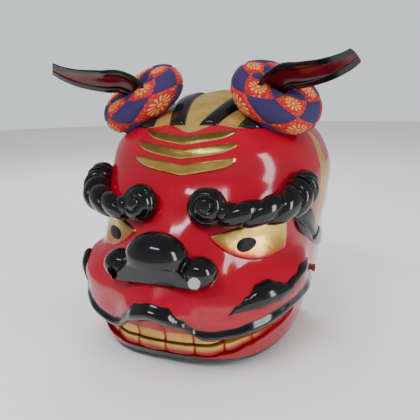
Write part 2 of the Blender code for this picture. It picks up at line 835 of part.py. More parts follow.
def make_hinge_pin(surface, hand, suffix, material, collection):
    wall = hinge_wall(surface, hand)
    inner_end = hand * (JAW_SECTIONS[-1][2] * HALF_WIDTH - JAW_WALL - 0.001)
    head_start = wall + hand * 0.0012
    profile = [
        (0.0, inner_end), (PIN_RADIUS, inner_end), (PIN_RADIUS, head_start),
        (PIN_HEAD_RADIUS, head_start), (PIN_HEAD_RADIUS, head_start + hand * PIN_HEAD_LENGTH),
        (0.0, head_start + hand * PIN_HEAD_LENGTH),
    ]
    bm = bmesh.new()
    verts = [bm.verts.new((x, HINGE_Y, HINGE_Z + radius)) for radius, x in profile]
    edges = [bm.edges.new(pair) for pair in zip(verts, verts[1:])]
    bmesh.ops.spin(bm, geom=verts + edges, cent=(0, HINGE_Y, HINGE_Z), axis=(1, 0, 0), dvec=(0, 0, 0),
                   angle=math.tau, steps=12, use_merge=True)
    bmesh.ops.remove_doubles(bm, verts=bm.verts, dist=0.00001)
    pin = add_object(f"hinge_pin_{suffix}", mesh_from_bmesh(f"hinge_pin_{suffix}", bm), material, collection)
    return pin


def pad_axes(hand):
    long_axis = mirror_x(PAD_LONG_AXIS, hand).normalized()
    hole = mirror_x(PAD_HOLE_AXIS, hand)
    hole = (hole - long_axis * hole.dot(long_axis)).normalized()
    return long_axis, hole, hole.cross(long_axis)


def rib_rooms(surface, hand, suffix, cutters):
    """Cutters a little larger than the ribs, for what lies over them."""
    rooms = []
    for number, rib in enumerate(CROWN_RIBS):
        room = rib_mesh("rib_room", surface, hand, rib, 2 * PAD_CLEARANCE)
        rooms.append(cutters.add(f"rib room {number} {suffix}", room))
    return rooms


def make_pad(hand, suffix, seat, rooms, cutters, material, collection):
    long_axis, hole, short_axis = pad_axes(hand)
    centre = mirror_x(at_shares(*PAD_CENTRE), hand)
    around = 20
    tube_sides = 9
    bm = bmesh.new()
    rings = []
    for step in range(around):
        turn = math.tau * step / around
        middle = (long_axis * math.cos(turn) * (PAD_LONG - PAD_TUBE)
                  + short_axis * math.sin(turn) * (PAD_SHORT - PAD_TUBE))
        outward = (long_axis * math.cos(turn) / (PAD_LONG - PAD_TUBE)
                   + short_axis * math.sin(turn) / (PAD_SHORT - PAD_TUBE)).normalized()
        ring = []
        for side in range(tube_sides):
            roll = math.tau * side / tube_sides
            offset = outward * math.cos(roll) + hole * math.sin(roll)
            ring.append(bm.verts.new(centre + middle + offset * PAD_TUBE))
        rings.append(ring)
    for ring, following in zip(rings, rings[1:] + rings[:1]):
        for side in range(tube_sides):
            other = (side + 1) % tube_sides
            bm.faces.new((ring[side], ring[other], following[other], following[side]))
    pad = add_object(f"ear_pad_{suffix}", mesh_from_bmesh(f"ear_pad_{suffix}", bm), material, collection)
    combine(pad, seat, "DIFFERENCE")
    combine(pad, cutters.add(f"ear slot {suffix}", ear_slot_mesh(hand)), "DIFFERENCE")
    for room in rooms:
        combine(pad, room, "DIFFERENCE")


def ear_lines(hand, margin, lip=0.0):
    """Rows of points across the ear's channel, a margin out from its middle sheet."""
    opening = mirror_x(EAR_OPENING, hand).normalized()
    stations = 12
    across_steps = 6
    lines = []
    for station in range(stations + 1):
        place = (len(EAR_PATH) - 1) * station / stations
        here = spline(EAR_PATH, place)
        ahead = at_shares(*spline(EAR_PATH, min(place + 0.05, len(EAR_PATH) - 1))[:3])
        behind = at_shares(*spline(EAR_PATH, max(place - 0.05, 0.0))[:3])
        centre = mirror_x(at_shares(*here[:3]), hand)
        along = mirror_x(ahead - behind, hand).normalized()
        facing = (opening - along * opening.dot(along)).normalized()
        sideways = along.cross(facing)
        half = here[3] / 2 * HALF_WIDTH + margin
        deep = here[4] * HALF_WIDTH + margin + lip
        line = []
        for step in range(across_steps + 1):
            angle = math.pi * (step / across_steps - 0.5)
            offset = sideways * math.sin(angle) * half - facing * (math.cos(angle) * deep - lip)
            line.append(centre + offset)
        lines.append(line)
    return lines


def ear_slot_mesh(hand):
    """Solid room that the ear takes in its cushion."""
    margin = EAR_THICKNESS / 2 + EAR_CLEARANCE
    bm = bmesh.new()
    lines = [[bm.verts.new(point) for point in line] for line in ear_lines(hand, margin, margin)]
    for lower, upper in zip(lines, lines[1:]):
        join_edges(bm, lower + lower[:1], upper + upper[:1])
    bm.faces.new(lines[0])
    bm.faces.new(lines[-1])
    return mesh_from_bmesh("ear_slot", bm)


def make_ear(hand, suffix, seat, rooms, material, collection):
    bm = bmesh.new()
    lines = []
    for outer, inner in zip(ear_lines(hand, EAR_THICKNESS / 2), ear_lines(hand, -EAR_THICKNESS / 2)):
        lines.append([bm.verts.new(point) for point in outer + inner[::-1]])
    for lower, upper in zip(lines, lines[1:]):
        join_edges(bm, lower + lower[:1], upper + upper[:1])
    for end in (lines[0], lines[-1]):
        half = len(end) // 2
        join_edges(bm, end[:half], end[:half - 1:-1])
    ear = add_object(f"ear_{suffix}", mesh_from_bmesh(f"ear_{suffix}", bm), material, collection)
    for cutter in [seat, *rooms]:
        combine(ear, cutter, "DIFFERENCE")


def make_shell(nostrils, bores, material, collection):
    shell = add_object("head_shell", shell_mesh("head_shell", SHELL_WALL), material, collection)
    for cutter in nostrils + bores:
        combine(shell, cutter, "DIFFERENCE")


def build():
    clear_scene()
    parts = new_collection("lion dance head")
    hidden = new_collection("cutters")
    cutters = Cutters(hidden)
    red = lacquer("red lacquer", (0.45, 0.006, 0.012), 0.12)
    black = lacquer("black lacquer", (0.006, 0.006, 0.007), 0.10)
    gold = lacquer("gold leaf", (0.80, 0.56, 0.20), 0.28, 1.0)
    brocade = lacquer("brocade cloth", (0.50, 0.02, 0.03), 0.80)
    wood = lacquer("stained wood", (0.20, 0.05, 0.03), 0.55)

    surface = HeadSurface()
    seat = cutters.add("seat form", seat_form_mesh(SEAT_GAP))
    nostrils = []
    bores = []
    for hand, suffix in ((-1, "left"), (1, "right")):
        x = hand * NOSTRIL[0] * HALF_WIDTH
        z = NOSTRIL[1] * HEAD_HEIGHT
        hole = cylinder_mesh("nostril", (x, -HEAD_DEPTH, z), (x, MIDDLE_Y - 0.1 * HEAD_DEPTH, z), NOSTRIL_RADIUS, 14)
        nostrils.append(cutters.add(f"nostril {suffix}", hole))
        bores.append(cutters.add(f"pin bore {suffix}", bore_mesh(hand, 0.8)))

    make_shell(nostrils, bores, red, parts)
    make_nose(seat, nostrils, cutters, black, parts)
    make_bands(surface, seat, gold, parts)
    wall_form = cutters.add("wall form", shell_mesh("wall_form", SHELL_WALL + SEAT_GAP))
    make_upper_teeth(wall_form, gold, parts)
    make_jaw(cutters, red, parts)
    make_lower_teeth(gold, parts)
    for hand, suffix in ((-1, "left"), (1, "right")):
        make_eye(surface, hand, suffix, seat, gold, parts)
        make_brow(hand, suffix, seat, cutters, black, parts)
        make_ribs(surface, hand, suffix, seat, black, parts)
        make_lock(surface, hand, suffix, seat, black, parts)
        rooms = rib_rooms(surface, hand, suffix, cutters)
        make_pad(hand, suffix, seat, rooms, cutters, brocade, parts)
        make_ear(hand, suffix, seat, rooms, black, parts)
        make_hinge_pin(surface, hand, suffix, wood, parts)


build()
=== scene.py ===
"""Lion dance head: hollow carved wood in lacquer and gold leaf, with cloth-ringed ears.

The face looks along -Y and the floor is at z = 0. Lengths are in metres.
"""

import math

import bmesh
import bpy
import numpy as np
from mathutils import Matrix, Vector
from mathutils.bvhtree import BVHTree


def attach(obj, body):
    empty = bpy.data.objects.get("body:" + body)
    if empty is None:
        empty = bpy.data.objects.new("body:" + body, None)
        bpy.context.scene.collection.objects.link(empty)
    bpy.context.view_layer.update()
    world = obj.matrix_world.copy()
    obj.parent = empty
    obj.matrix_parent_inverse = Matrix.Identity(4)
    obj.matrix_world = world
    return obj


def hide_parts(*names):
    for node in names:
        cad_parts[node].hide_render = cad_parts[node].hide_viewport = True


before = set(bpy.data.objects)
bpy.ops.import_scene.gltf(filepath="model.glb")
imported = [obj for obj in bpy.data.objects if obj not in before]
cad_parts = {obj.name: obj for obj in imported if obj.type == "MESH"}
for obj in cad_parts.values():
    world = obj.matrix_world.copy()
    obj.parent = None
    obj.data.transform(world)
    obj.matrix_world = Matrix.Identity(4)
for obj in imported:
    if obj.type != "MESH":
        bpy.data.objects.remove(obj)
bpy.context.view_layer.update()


# Camera: it stands a little to the viewer's right of the face and above it,
# about 57 cm from the nose, and looks down by some 15 degrees.
camera_turn = 0.34918653
camera_tip = 0.25775233
camera_lean = -0.02181739
level_right = Vector((math.cos(camera_turn), math.sin(camera_turn), 0.0))
look = Vector((-math.sin(camera_turn) * math.cos(camera_tip), math.cos(camera_turn) * math.cos(camera_tip),
               -math.sin(camera_tip)))
level_up = level_right.cross(look)
camera_right = level_right * math.cos(camera_lean) + level_up * math.sin(camera_lean)
camera_up = level_up * math.cos(camera_lean) - level_right * math.sin(camera_lean)


def new_object(name, data):
    placed = bpy.data.objects.new(name, data)
    bpy.context.scene.collection.objects.link(placed)
    return placed


def object_from(name, bm):
    """Object whose mesh is taken from a bmesh."""
    mesh = bpy.data.meshes.new(name)
    bm.to_mesh(mesh)
    bm.free()
    return new_object(name, mesh)


camera_data = bpy.data.cameras.new("camera")
camera_data.lens = 38.356
camera_data.sensor_width = 36.0
camera = new_object("camera", camera_data)
camera.matrix_world = (Matrix.Translation((0.2016396, -0.4949991, 0.2948406))
                       @ Matrix((camera_right, camera_up, -look)).transposed().to_4x4())
bpy.context.scene.camera = camera


# Light: an even pale room, a broad lamp over the viewer's left shoulder, a tall
# window on the right that draws long highlights on the lacquer, and a rear fill.
world = bpy.data.worlds.new("pale_room")
world.use_nodes = True
bpy.context.scene.world = world


def area_lamp(name, place, target, width, tall, power, mirrored=True):
    """Rectangular soft lamp that faces a point; gloss may leave it unmirrored."""
    data = bpy.data.lights.new(name, "AREA")
    data.shape = "RECTANGLE"
    data.size = width
    data.size_y = tall
    data.energy = power
    lamp = new_object(name, data)
    lamp.location = place
    lamp.rotation_euler = (Vector(target) - Vector(place)).to_track_quat("-Z", "Y").to_euler()
    lamp.visible_glossy = mirrored


area_lamp("lamp_room", (0.0, 1.5, 4.0), (0.0, 1.5, 0.0), 8.0, 8.0, 230.0, False)
area_lamp("lamp_overhead", (-0.35, -0.75, 1.25), (0.0, 0.0, 0.12), 0.9, 0.3, 11.0, False)
area_lamp("lamp_rear", (-0.6, 1.1, 1.1), (0.0, 0.0, 0.15), 0.9, 0.9, 10.0, False)
area_lamp("lamp_tube", (-0.10, -0.85, 1.30), (0.0, 0.0, 0.12), 0.60, 0.08, 3.2)
area_lamp("lamp_window", (1.15, -0.45, 0.55), (0.0, 0.0, 0.14), 0.26, 0.9, 8.0)


def feed(node, **values):
    """Sets a node's sockets and settings by name; a socket also takes a link."""
    for name, value in values.items():
        named = (socket for socket in node.inputs
                 if socket.enabled and socket.name.lower().replace(" ", "_") == name)
        socket = next(named, None)
        if socket is None:
            setattr(node, name, value)
        elif isinstance(value, bpy.types.NodeSocket):
            node.id_data.links.new(value, socket)
        else:
            socket.default_value = (*value, 1.0) if socket.type == "RGBA" else value
    return node


def add_node(tree, kind, **values):
    return feed(tree.nodes.new(kind), **values)


def result_of(tree, kind, **values):
    """First output of a new node."""
    return next(socket for socket in add_node(tree, kind, **values).outputs if socket.enabled)


def object_place(tree):
    return add_node(tree, "ShaderNodeTexCoord").outputs["Object"]


def noise(tree, scale, detail):
    return result_of(tree, "ShaderNodeTexNoise", scale=scale, detail=detail, vector=object_place(tree))


def mixed(mask, first, second):
    """Mix of two colours or two numbers, each a value or a link."""
    colors = any(isinstance(value, tuple) or getattr(value, "type", None) == "RGBA"
                 for value in (first, second))
    kind = "RGBA" if colors else "FLOAT"
    return result_of(mask.id_data, "ShaderNodeMix", data_type=kind, factor=mask, a=first, b=second)


def calc(operation, *operands):
    """Result of a sum whose operands are numbers or links, at least one a link."""
    tree = next(value.id_data for value in operands if isinstance(value, bpy.types.NodeSocket))
    node = add_node(tree, "ShaderNodeMath", operation=operation)
    for socket, value in zip(node.inputs, operands):
        if isinstance(value, bpy.types.NodeSocket):
            tree.links.new(value, socket)
        else:
            socket.default_value = value
    return node.outputs["Value"]


def ramp(value, low, high, **values):
    """Graded value: 0 where the given one is low, 1 where it is high."""
    return result_of(value.id_data, "ShaderNodeMapRange", value=value, from_min=low, from_max=high, **values)


def plain_material(name, **values):
    """Material with its Principled shader and their node tree."""
    material = bpy.data.materials.new(name)
    material.use_nodes = True
    return material, material.node_tree, feed(material.node_tree.nodes["Principled BSDF"], **values)


# The room is pale at eye level and darker overhead, and its wall lies out of the
# lamps' reach, so it is set brighter for the camera alone.
tree = world.node_tree
direction = add_node(tree, "ShaderNodeTexCoord").outputs["Generated"]
upward = add_node(tree, "ShaderNodeSeparateXYZ", vector=direction).outputs["Z"]
ceiling = ramp(upward, 0.05, 0.85, interpolation_type="SMOOTHSTEP", to_min=0.46, to_max=0.18)
to_camera = add_node(tree, "ShaderNodeLightPath").outputs["Is Camera Ray"]
feed(tree.nodes["Background"], color=(0.84, 0.86, 0.88), strength=mixed(to_camera, ceiling, 1.02))


# Floor: a plain pale board under the head and far round it, slightly uneven in
# tone. It takes the head's shadow and isn't part of it.
floor_material, tree, shader = plain_material("pale_floor", roughness=0.85, specular_ior_level=0.05)
feed(shader, base_color=mixed(noise(tree, 3.0, 3.0), (0.80, 0.80, 0.795), (0.88, 0.88, 0.875)))
bm = bmesh.new()
bmesh.ops.create_circle(bm, cap_ends=True, segments=64, radius=4.0)
floor = object_from("floor", bm)
floor.data.materials.append(floor_material)


# Head shell: one hollow shell of carved wood under red lacquer. Its outline is a
# stack of rounded level sections round the middle of the rear rim, and the brow,
# cheeks and lip are swellings carved on it. Black, gold and red are painted areas.
half_width = 0.150
depth = 0.260
height = 0.298
rear_y = 0.1321
shell_wall = 0.006
both_sides = ((-1, "left"), (1, "right"))
sections = np.array([
    (0.114, 0.896, 0.880, 3.0), (0.164, 0.904, 0.900, 3.2), (0.230, 0.908, 0.920, 3.2),
    (0.295, 0.896, 0.933, 3.0), (0.361, 0.869, 0.940, 2.6), (0.427, 0.831, 0.953, 2.5),
    (0.492, 0.785, 0.977, 2.4), (0.557, 0.735, 0.990, 2.4), (0.623, 0.681, 1.000, 2.4),
    (0.688, 0.645, 0.990, 2.4), (0.755, 0.635, 0.940, 2.4), (0.802, 0.600, 0.887, 2.4),
    (0.852, 0.538, 0.793, 2.3), (0.896, 0.454, 0.683, 2.3), (0.932, 0.360, 0.540, 2.2),
    (0.967, 0.250, 0.375, 2.2), (0.990, 0.130, 0.200, 2.1), (1.000, 0.000, 0.000, 2.0),
])
face_forms = [
    (0.00, 0.287, 0.350, 0.105, 0.084), (0.00, 0.475, 0.170, 0.130, 0.034),
    (0.57, 0.450, 0.260, 0.065, -0.034), (0.62, 0.604, 0.340, 0.060, 0.014),
    (0.54, 0.371, 0.110, 0.055, -0.018),
]
cheek_forms = [(38.0, 0.290, 15.0, 0.052, 0.062), (44.0, 0.340, 10.0, 0.030, 0.046)]
lip_edge = [
    (0.0, 0.232), (6.0, 0.200), (12.5, 0.146), (20.0, 0.155), (28.6, 0.170), (38.0, 0.190), (50.0, 0.212),
    (60.0, 0.211), (70.0, 0.188), (80.0, 0.184), (90.0, 0.184),
]
lip_border_top = [
    (0.0, 0.300), (4.0, 0.288), (7.0, 0.246), (10.5, 0.197), (14.0, 0.189), (18.5, 0.195), (25.0, 0.213),
    (31.0, 0.232), (36.0, 0.250), (41.0, 0.272), (46.0, 0.290), (52.0, 0.285), (58.0, 0.225), (62.0, 0.210),
    (70.0, 0.188), (90.0, 0.184),
]
lip_border_rise = 0.0075
crown_step = 0.004


def eased(value):
    value = np.clip(value, 0.0, 1.0)
    return value * value * (3 - 2 * value)


def bump(value, centre, spread):
    return np.exp(-((value - centre) / spread) ** 2)


def read_line(table, degrees):
    """Height share on a line of directions and heights, eased between its points."""
    starts, values = np.array(table).T
    degrees = np.abs(degrees)
    step = np.clip(np.searchsorted(starts, degrees, side="right") - 1, 0, len(starts) - 2)
    part = eased((degrees - starts[step]) / (starts[step + 1] - starts[step]))
    return values[step] + (values[step + 1] - values[step]) * part


def table_curve(table, place):
    """Smooth curve through equal-step rows of a table, read at fractional row numbers."""
    table = np.asarray(table, float)
    ends = np.vstack([2 * table[0] - table[1], table, 2 * table[-1] - table[-2]])
    place = np.clip(np.atleast_1d(place), 0, len(table) - 1)
    row = np.minimum(place.astype(int), len(table) - 2)
    part = (place - row)[:, None]
    before, here, after, beyond = (ends[row + step] for step in range(4))
    slope_here = (after - before) / 2
    slope_after = (beyond - here) / 2
    return ((2 * part ** 3 - 3 * part ** 2 + 1) * here + (part ** 3 - 2 * part ** 2 + part) * slope_here
            + (3 * part ** 2 - 2 * part ** 3) * after + (part ** 3 - part ** 2) * slope_after)


row_samples = np.linspace(0, len(sections) - 1, 1700)
height_samples = table_curve(sections, row_samples)[:, 0]


def row_at_height(share):
    return np.interp(share, height_samples, row_samples)


def crown_edge(across):
    """Height share of the wavy front edge of the crown."""
    return 0.850 - 0.015 * np.cos(math.tau * across / 0.45) * np.exp(-(across / 0.33) ** 2)


def outline_radius(angle, reach, half, square):
    """Distance from the rear centre to a rounded outline of a given squareness."""
    return ((np.abs(np.sin(angle)) / half) ** square
            + (np.abs(np.cos(angle)) / reach) ** square) ** (-1 / square)


def head_surface(degrees, row):
    """Points of the outer surface for directions about the rear centre and section rows."""
    up, reach, half, square = table_curve(sections, row).T
    angle = np.radians(degrees)
    reach = np.maximum(reach, 1e-5) * depth
    half = np.maximum(half, 1e-5) * half_width
    radius = outline_radius(angle, reach, half, square)
    across = np.abs(radius * np.sin(angle)) / half_width
    back = 0.5 - radius * np.cos(angle) / depth
    facing = eased((0.192 - back) / 0.230)
    rise = sum(form * bump(across, centre, wide) * bump(up, middle, tall)
               for centre, middle, wide, tall, form in face_forms)
    rise = rise + sum(form * bump(np.abs(degrees), centre, wide) * bump(up, middle, tall)
                      for centre, middle, wide, tall, form in cheek_forms)
    lip = read_line(lip_edge, degrees)
    rise = rise + 0.020 * bump(up, lip + 0.045, 0.040)
    radius = radius + rise * facing * depth
    sunk = eased((up - crown_edge(across)) / 0.010)
    return np.column_stack((radius * np.sin(angle), rear_y - radius * np.cos(angle),
                            up * height - crown_step * sunk * eased(radius / 0.05)))


def unit(vectors):
    return vectors / np.linalg.norm(vectors, axis=-1, keepdims=True)


def points_of(verts):
    return np.array([vert.co[:] for vert in verts])


def set_points(verts, points):
    for vert, point in zip(verts, points):
        vert.co = point


def set_reading(verts, name, values):
    """Float attribute on the corners, by name."""
    layer = verts.layers.float.new(name)
    for vert, value in zip(verts, values):
        vert[layer] = value


def mapped_grid(columns, rows, place):
    """Grid of quads whose corners a function of their two shares puts in place."""
    bm = bmesh.new()
    bmesh.ops.create_grid(bm, x_segments=columns, y_segments=rows, size=1.0)
    shares = points_of(bm.verts)[:, :2] * 0.5 + 0.5
    set_points(bm.verts, place(shares[:, 0], shares[:, 1]))
    return bm, shares


def close_seams(bm, dist=0.00003):
    bmesh.ops.remove_doubles(bm, verts=bm.verts, dist=dist)
    bmesh.ops.recalc_face_normals(bm, faces=bm.faces)


def finish_piece(name, bm, materials, body, replaced=(), sharp=50.0):
    """Object from a bmesh, smooth apart from its sharp edges, riding on a body."""
    piece = object_from(name, bm)
    piece.data.shade_smooth()
    piece.data.set_sharp_from_angle(angle=math.radians(sharp))
    for material in materials:
        piece.data.materials.append(material)
    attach(piece, body)
    if replaced:
        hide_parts(*replaced)
    return piece


def add_modifier(piece, kind, **values):
    modifier = piece.modifiers.new(kind.lower(), kind)
    for name, value in values.items():
        setattr(modifier, name, value)


def apply_modifiers(piece):
    """Keeps the shape that the piece's modifiers make and removes them."""
    bpy.context.view_layer.update()
    shaped = piece.evaluated_get(bpy.context.evaluated_depsgraph_get())
    mesh = bpy.data.meshes.new_from_object(shaped)
    piece.modifiers.clear()
    piece.data = mesh


def spread_directions(share):
    """Directions in degrees across the head, closer together at the front."""
    return np.copysign(90 * np.abs(2 * share - 1) ** 1.25, 2 * share - 1)


def shell_place(u, v):
    degrees = spread_directions(u)
    edge = row_at_height(read_line(lip_edge, degrees))
    points = head_surface(degrees, edge + (len(sections) - 1 - edge) * v)
    points[np.abs(degrees) > 89.99, 1] = rear_y
    return points


# Surface effects that several finishes share: the soft waves and fine dust of
# brushed lacquer, and the creases and breaks of gold leaf.
def effect_group(name, inputs, outputs):
    """Empty shader node group with named sockets, its input and its output node."""
    group = bpy.data.node_groups.new(name, "ShaderNodeTree")
    kinds = {"Color": "NodeSocketColor", "Normal": "NodeSocketVector"}
    for label, value in inputs.items():
        kind = kinds.get(label, "NodeSocketFloat")
        group.interface.new_socket(name=label, in_out="INPUT", socket_type=kind).default_value = value
    for label in outputs:
        kind = kinds.get(label, "NodeSocketFloat")
        group.interface.new_socket(name=label, in_out="OUTPUT", socket_type=kind)
    return group, group.nodes.new("NodeGroupInput").outputs, group.nodes.new("NodeGroupOutput")


def effect(tree, group, **values):
    """Outputs of a node group placed in a tree."""
    return add_node(tree, "ShaderNodeGroup", node_tree=group, **values).outputs


lacquer_group, given, result = effect_group(
    "brushed_lacquer", {"Roughness": 0.12, "Wave": 0.12}, ["Roughness", "Normal"])
smears = ramp(noise(lacquer_group, 14.0, 4.0), 0.35, 0.75, to_min=-0.03, to_max=0.09)
dust = noise(lacquer_group, 900.0, 2.0)
ripple = result_of(lacquer_group, "ShaderNodeBump", distance=0.002, height=noise(lacquer_group, 26.0, 2.0),
                   strength=given["Wave"])
dusty = calc("MULTIPLY_ADD", dust, 0.05, calc("ADD", given["Roughness"], smears))
feed(result, roughness=dusty, normal=ripple)

leaf_group, given, result = effect_group(
    "gold_leaf_surface", {"Color": (0.86, 0.63, 0.26, 1.0), "Roughness": 0.26, "Crease": 0.35},
    ["Color", "Roughness", "Normal"])
cloudy = noise(leaf_group, 45.0, 6.0)
darker = result_of(leaf_group, "ShaderNodeMix", data_type="RGBA", blend_type="MULTIPLY",
                   factor=ramp(cloudy, 0.40, 0.75), a=given["Color"], b=(0.72, 0.58, 0.38))
creases = add_node(leaf_group, "ShaderNodeTexVoronoi", feature="DISTANCE_TO_EDGE", scale=70.0,
                   vector=object_place(leaf_group)).outputs["Distance"]
folds = calc("ADD", creases, noise(leaf_group, 120.0, 5.0))
crumple = result_of(leaf_group, "ShaderNodeBump", distance=0.0012, height=folds, strength=given["Crease"])
feed(result, color=darker, roughness=calc("MULTIPLY_ADD", cloudy, 0.16, given["Roughness"]), normal=crumple)


def area_mask(tree, attribute, soft=0.0004):
    """1 inside a painted area, whose edge is where the attribute passes 0."""
    reading = add_node(tree, "ShaderNodeAttribute", attribute_name=attribute).outputs["Fac"]
    return ramp(reading, -soft, soft)


red_color = (0.37, 0.0008, 0.016)
black_color = (0.006, 0.006, 0.007)
gold_color = (0.74, 0.50, 0.14)


def lacquer_material(name, color, roughness, wave, coat=0.2, **values):
    """One colour of gloss lacquer."""
    material, tree, shader = plain_material(name, base_color=color, coat_weight=coat, coat_roughness=0.04)
    lacquer = effect(tree, lacquer_group, roughness=roughness, wave=wave)
    feed(shader, roughness=lacquer["Roughness"], normal=lacquer["Normal"], **values)
    return material


black_lacquer = lacquer_material("black_lacquer_gloss", black_color, 0.09, 0.10)
inner_lacquer = lacquer_material("dark_inner_lacquer", (0.045, 0.004, 0.005), 0.35, 0.3)
red_lacquer = lacquer_material("red_lacquer_gloss", red_color, 0.09, 0.10)

gold_leaf, tree, shader = plain_material("gold_leaf_bright", metallic=1.0, coat_weight=0.3,
                                         coat_roughness=0.06)
leaf = effect(tree, leaf_group, color=gold_color, roughness=0.22, crease=0.35)
feed(shader, base_color=leaf["Color"], roughness=leaf["Roughness"], normal=leaf["Normal"])

shell_paint, tree, shader = plain_material("painted_shell_lacquer", coat_weight=0.2, coat_roughness=0.04)
lacquer = effect(tree, lacquer_group, roughness=0.09, wave=0.10)
leaf = effect(tree, leaf_group, color=(0.62, 0.42, 0.11), roughness=0.34, crease=0.25)
gold_area = area_mask(tree, "gold_area")
black_on_red = mixed(area_mask(tree, "black_area"), red_color, black_color)
feed(shader, base_color=mixed(gold_area, black_on_red, leaf["Color"]), metallic=mixed(gold_area, 0.0, 0.55),
     roughness=mixed(gold_area, lacquer["Roughness"], leaf["Roughness"]), normal=lacquer["Normal"])

shell_bm, shell_shares = mapped_grid(220, 170, shell_place)
points = points_of(shell_bm.verts)
directions = spread_directions(shell_shares[:, 0])
up_share = points[:, 2] / height
across_share = np.abs(points[:, 0]) / half_width
lip_black = (read_line(lip_border_top, directions) - up_share) * height
crown_gold = (up_share - crown_edge(across_share) - 0.004) * height
side_black = (across_share - 0.655) * half_width

# Gold side stripe behind the cheek, from under the ear down past the side lock
stripe_low, stripe_high = 0.395, 0.835
stripe_y = 0.0845
stripe_half = 0.0155
stripe_share = np.clip((up_share - stripe_low) / (stripe_high - stripe_low), 0, 1)
side_gold = stripe_half * np.sin(math.pi * stripe_share) ** 0.6 - np.abs(points[:, 1] - stripe_y)
side_gold = np.where(across_share > 0.5, side_gold, -0.01)
border_width = (read_line(lip_border_top, directions) - read_line(lip_edge, directions)) * height
strip = (up_share - read_line(lip_edge, directions)) * height / np.maximum(border_width, 0.003)
bead = lip_border_rise * eased((1 - strip) / 0.55) * (0.75 + 0.25 * eased(strip / 0.3))
bead *= eased(border_width / 0.006)
gold_distance = np.maximum(np.where(across_share < 0.655, crown_gold, -0.01), side_gold)
black_distance = np.maximum(lip_black, np.minimum(crown_gold, side_black))
for name, values in (("gold_area", gold_distance), ("black_area", black_distance), ("bead", bead)):
    set_reading(shell_bm.verts, name, values)
close_seams(shell_bm, 0.00002)
sample = next(face for face in shell_bm.faces if face.calc_center_median().z > height * 0.9)
if sample.normal.z < 0:
    bmesh.ops.reverse_faces(shell_bm, faces=shell_bm.faces)
surface_tree = BVHTree.FromBMesh(shell_bm)
shell = finish_piece("lacquered_shell", shell_bm, [shell_paint, inner_lacquer, black_lacquer], "head",
                     ["head_shell"])
outer_count = len(shell.data.vertices)
add_modifier(shell, "SOLIDIFY", thickness=shell_wall, offset=-1.0, material_offset=1, material_offset_rim=2)
apply_modifiers(shell)
for vert, rise in zip(shell.data.vertices[:outer_count], shell.data.attributes["bead"].data):
    outward = Vector((vert.co.x, vert.co.y - rear_y, 0.0))
    if rise.value > 0:
        vert.co += outward.normalized() * rise.value

# Nostril holes through the shell
nostril_across = 0.312
nostril_up = 0.382
nostril_radius = 0.0062
nostril_line = (-0.349, 0.845, -0.408)


def seat_on_shell(verts, sunk=0.004):
    """Moves corners that would show inside the shell out into its wall."""
    for vert in verts:
        nearest, normal, _, _ = surface_tree.find_nearest(vert.co)
        if (nearest - vert.co).dot(normal) > sunk:
            vert.co = nearest - normal * sunk


def remove_rods(piece, rods):
    """Drills round holes along given lines."""
    cutters = []
    for start, end, radius in rods:
        bm = bmesh.new()
        along = end - start
        bmesh.ops.create_cone(bm, cap_ends=True, segments=32, radius1=radius, radius2=radius,
                              depth=along.length)
        bmesh.ops.transform(bm, matrix=Matrix.Translation((start + end) / 2)
                            @ along.to_track_quat("Z", "Y").to_matrix().to_4x4(), verts=bm.verts)
        cutters.append(object_from("drill", bm))
        add_modifier(piece, "BOOLEAN", operation="DIFFERENCE", object=cutters[-1], solver="EXACT")
    apply_modifiers(piece)
    for cutter in cutters:
        bpy.data.objects.remove(cutter, do_unlink=True)


nostril_rods = []
for hand in (-1, 1):
    opening = Vector((hand * nostril_across * half_width, -0.120, nostril_up * height))
    inward = Vector((hand * nostril_line[0], *nostril_line[1:]))
    nostril_rods.append((opening - inward * 0.060, opening + inward * 0.070, nostril_radius))
hinge_y = 0.0641
hinge_z = 0.070
hinge_hole_radius = 0.0034
hinge_rods = [(Vector((hand * 0.120, hinge_y, hinge_z)), Vector((hand * 0.165, hinge_y, hinge_z)),
               hinge_hole_radius) for hand in (-1, 1)]
remove_rods(shell, nostril_rods + hinge_rods)


# Nose: a high middle lobe and two wings with round nostrils in black lacquer,
# fixed on the muzzle. The lower front is a flat face below the lobes.
nose_lobes = [
    (0.000, -0.415, 0.441, 0.228, 0.178, 0.178), (0.300, -0.395, 0.396, 0.130, 0.125, 0.108),
    (-0.300, -0.395, 0.396, 0.130, 0.125, 0.108), (0.000, -0.405, 0.380, 0.370, 0.135, 0.075),
]
middle_y = 0.0021
bm = bmesh.new()
for across, back, up, wide, deep, tall in nose_lobes:
    lobe = bmesh.ops.create_uvsphere(bm, u_segments=48, v_segments=32, radius=1.0)
    centre = Vector((across * half_width, middle_y + back * depth, up * height))
    sizes = Matrix.Diagonal((wide * half_width, deep * half_width, tall * half_width, 1.0))
    bmesh.ops.transform(bm, matrix=Matrix.Translation(centre) @ sizes, verts=lobe["verts"])
nose_face_y = -0.1240
nose_face_lean = 0.30
nose_base_z = 0.1049
nose_rim_z = 0.1270
nose_base_half = 0.051
nose_rim_half = 0.026
nose_back_y = -0.090
plate = bmesh.ops.create_cube(bm, size=2.0)
for vert in plate["verts"]:
    upper = vert.co.z > 0
    z = nose_rim_z if upper else nose_base_z
    front = nose_face_y + nose_face_lean * (nose_rim_z - z)
    half = nose_rim_half if upper else nose_base_half
    vert.co = (vert.co.x * half, front if vert.co.y < 0 else nose_back_y, z)
nose = finish_piece("black_nose", bm, [black_lacquer], "head", ["nose"])
add_modifier(nose, "REMESH", mode="VOXEL", voxel_size=0.0010)
apply_modifiers(nose)
for vert in nose.data.vertices:
    rim = nose_rim_z - 0.013 * float(eased((abs(vert.co.x) - 0.020) / 0.016))
    front = nose_face_y + nose_face_lean * (nose_rim_z - vert.co.z)
    if vert.co.z < rim:
        vert.co.y = max(vert.co.y, front)
    vert.co.z = max(vert.co.z, nose_base_z)
add_modifier(nose, "REMESH", mode="VOXEL", voxel_size=0.0009)
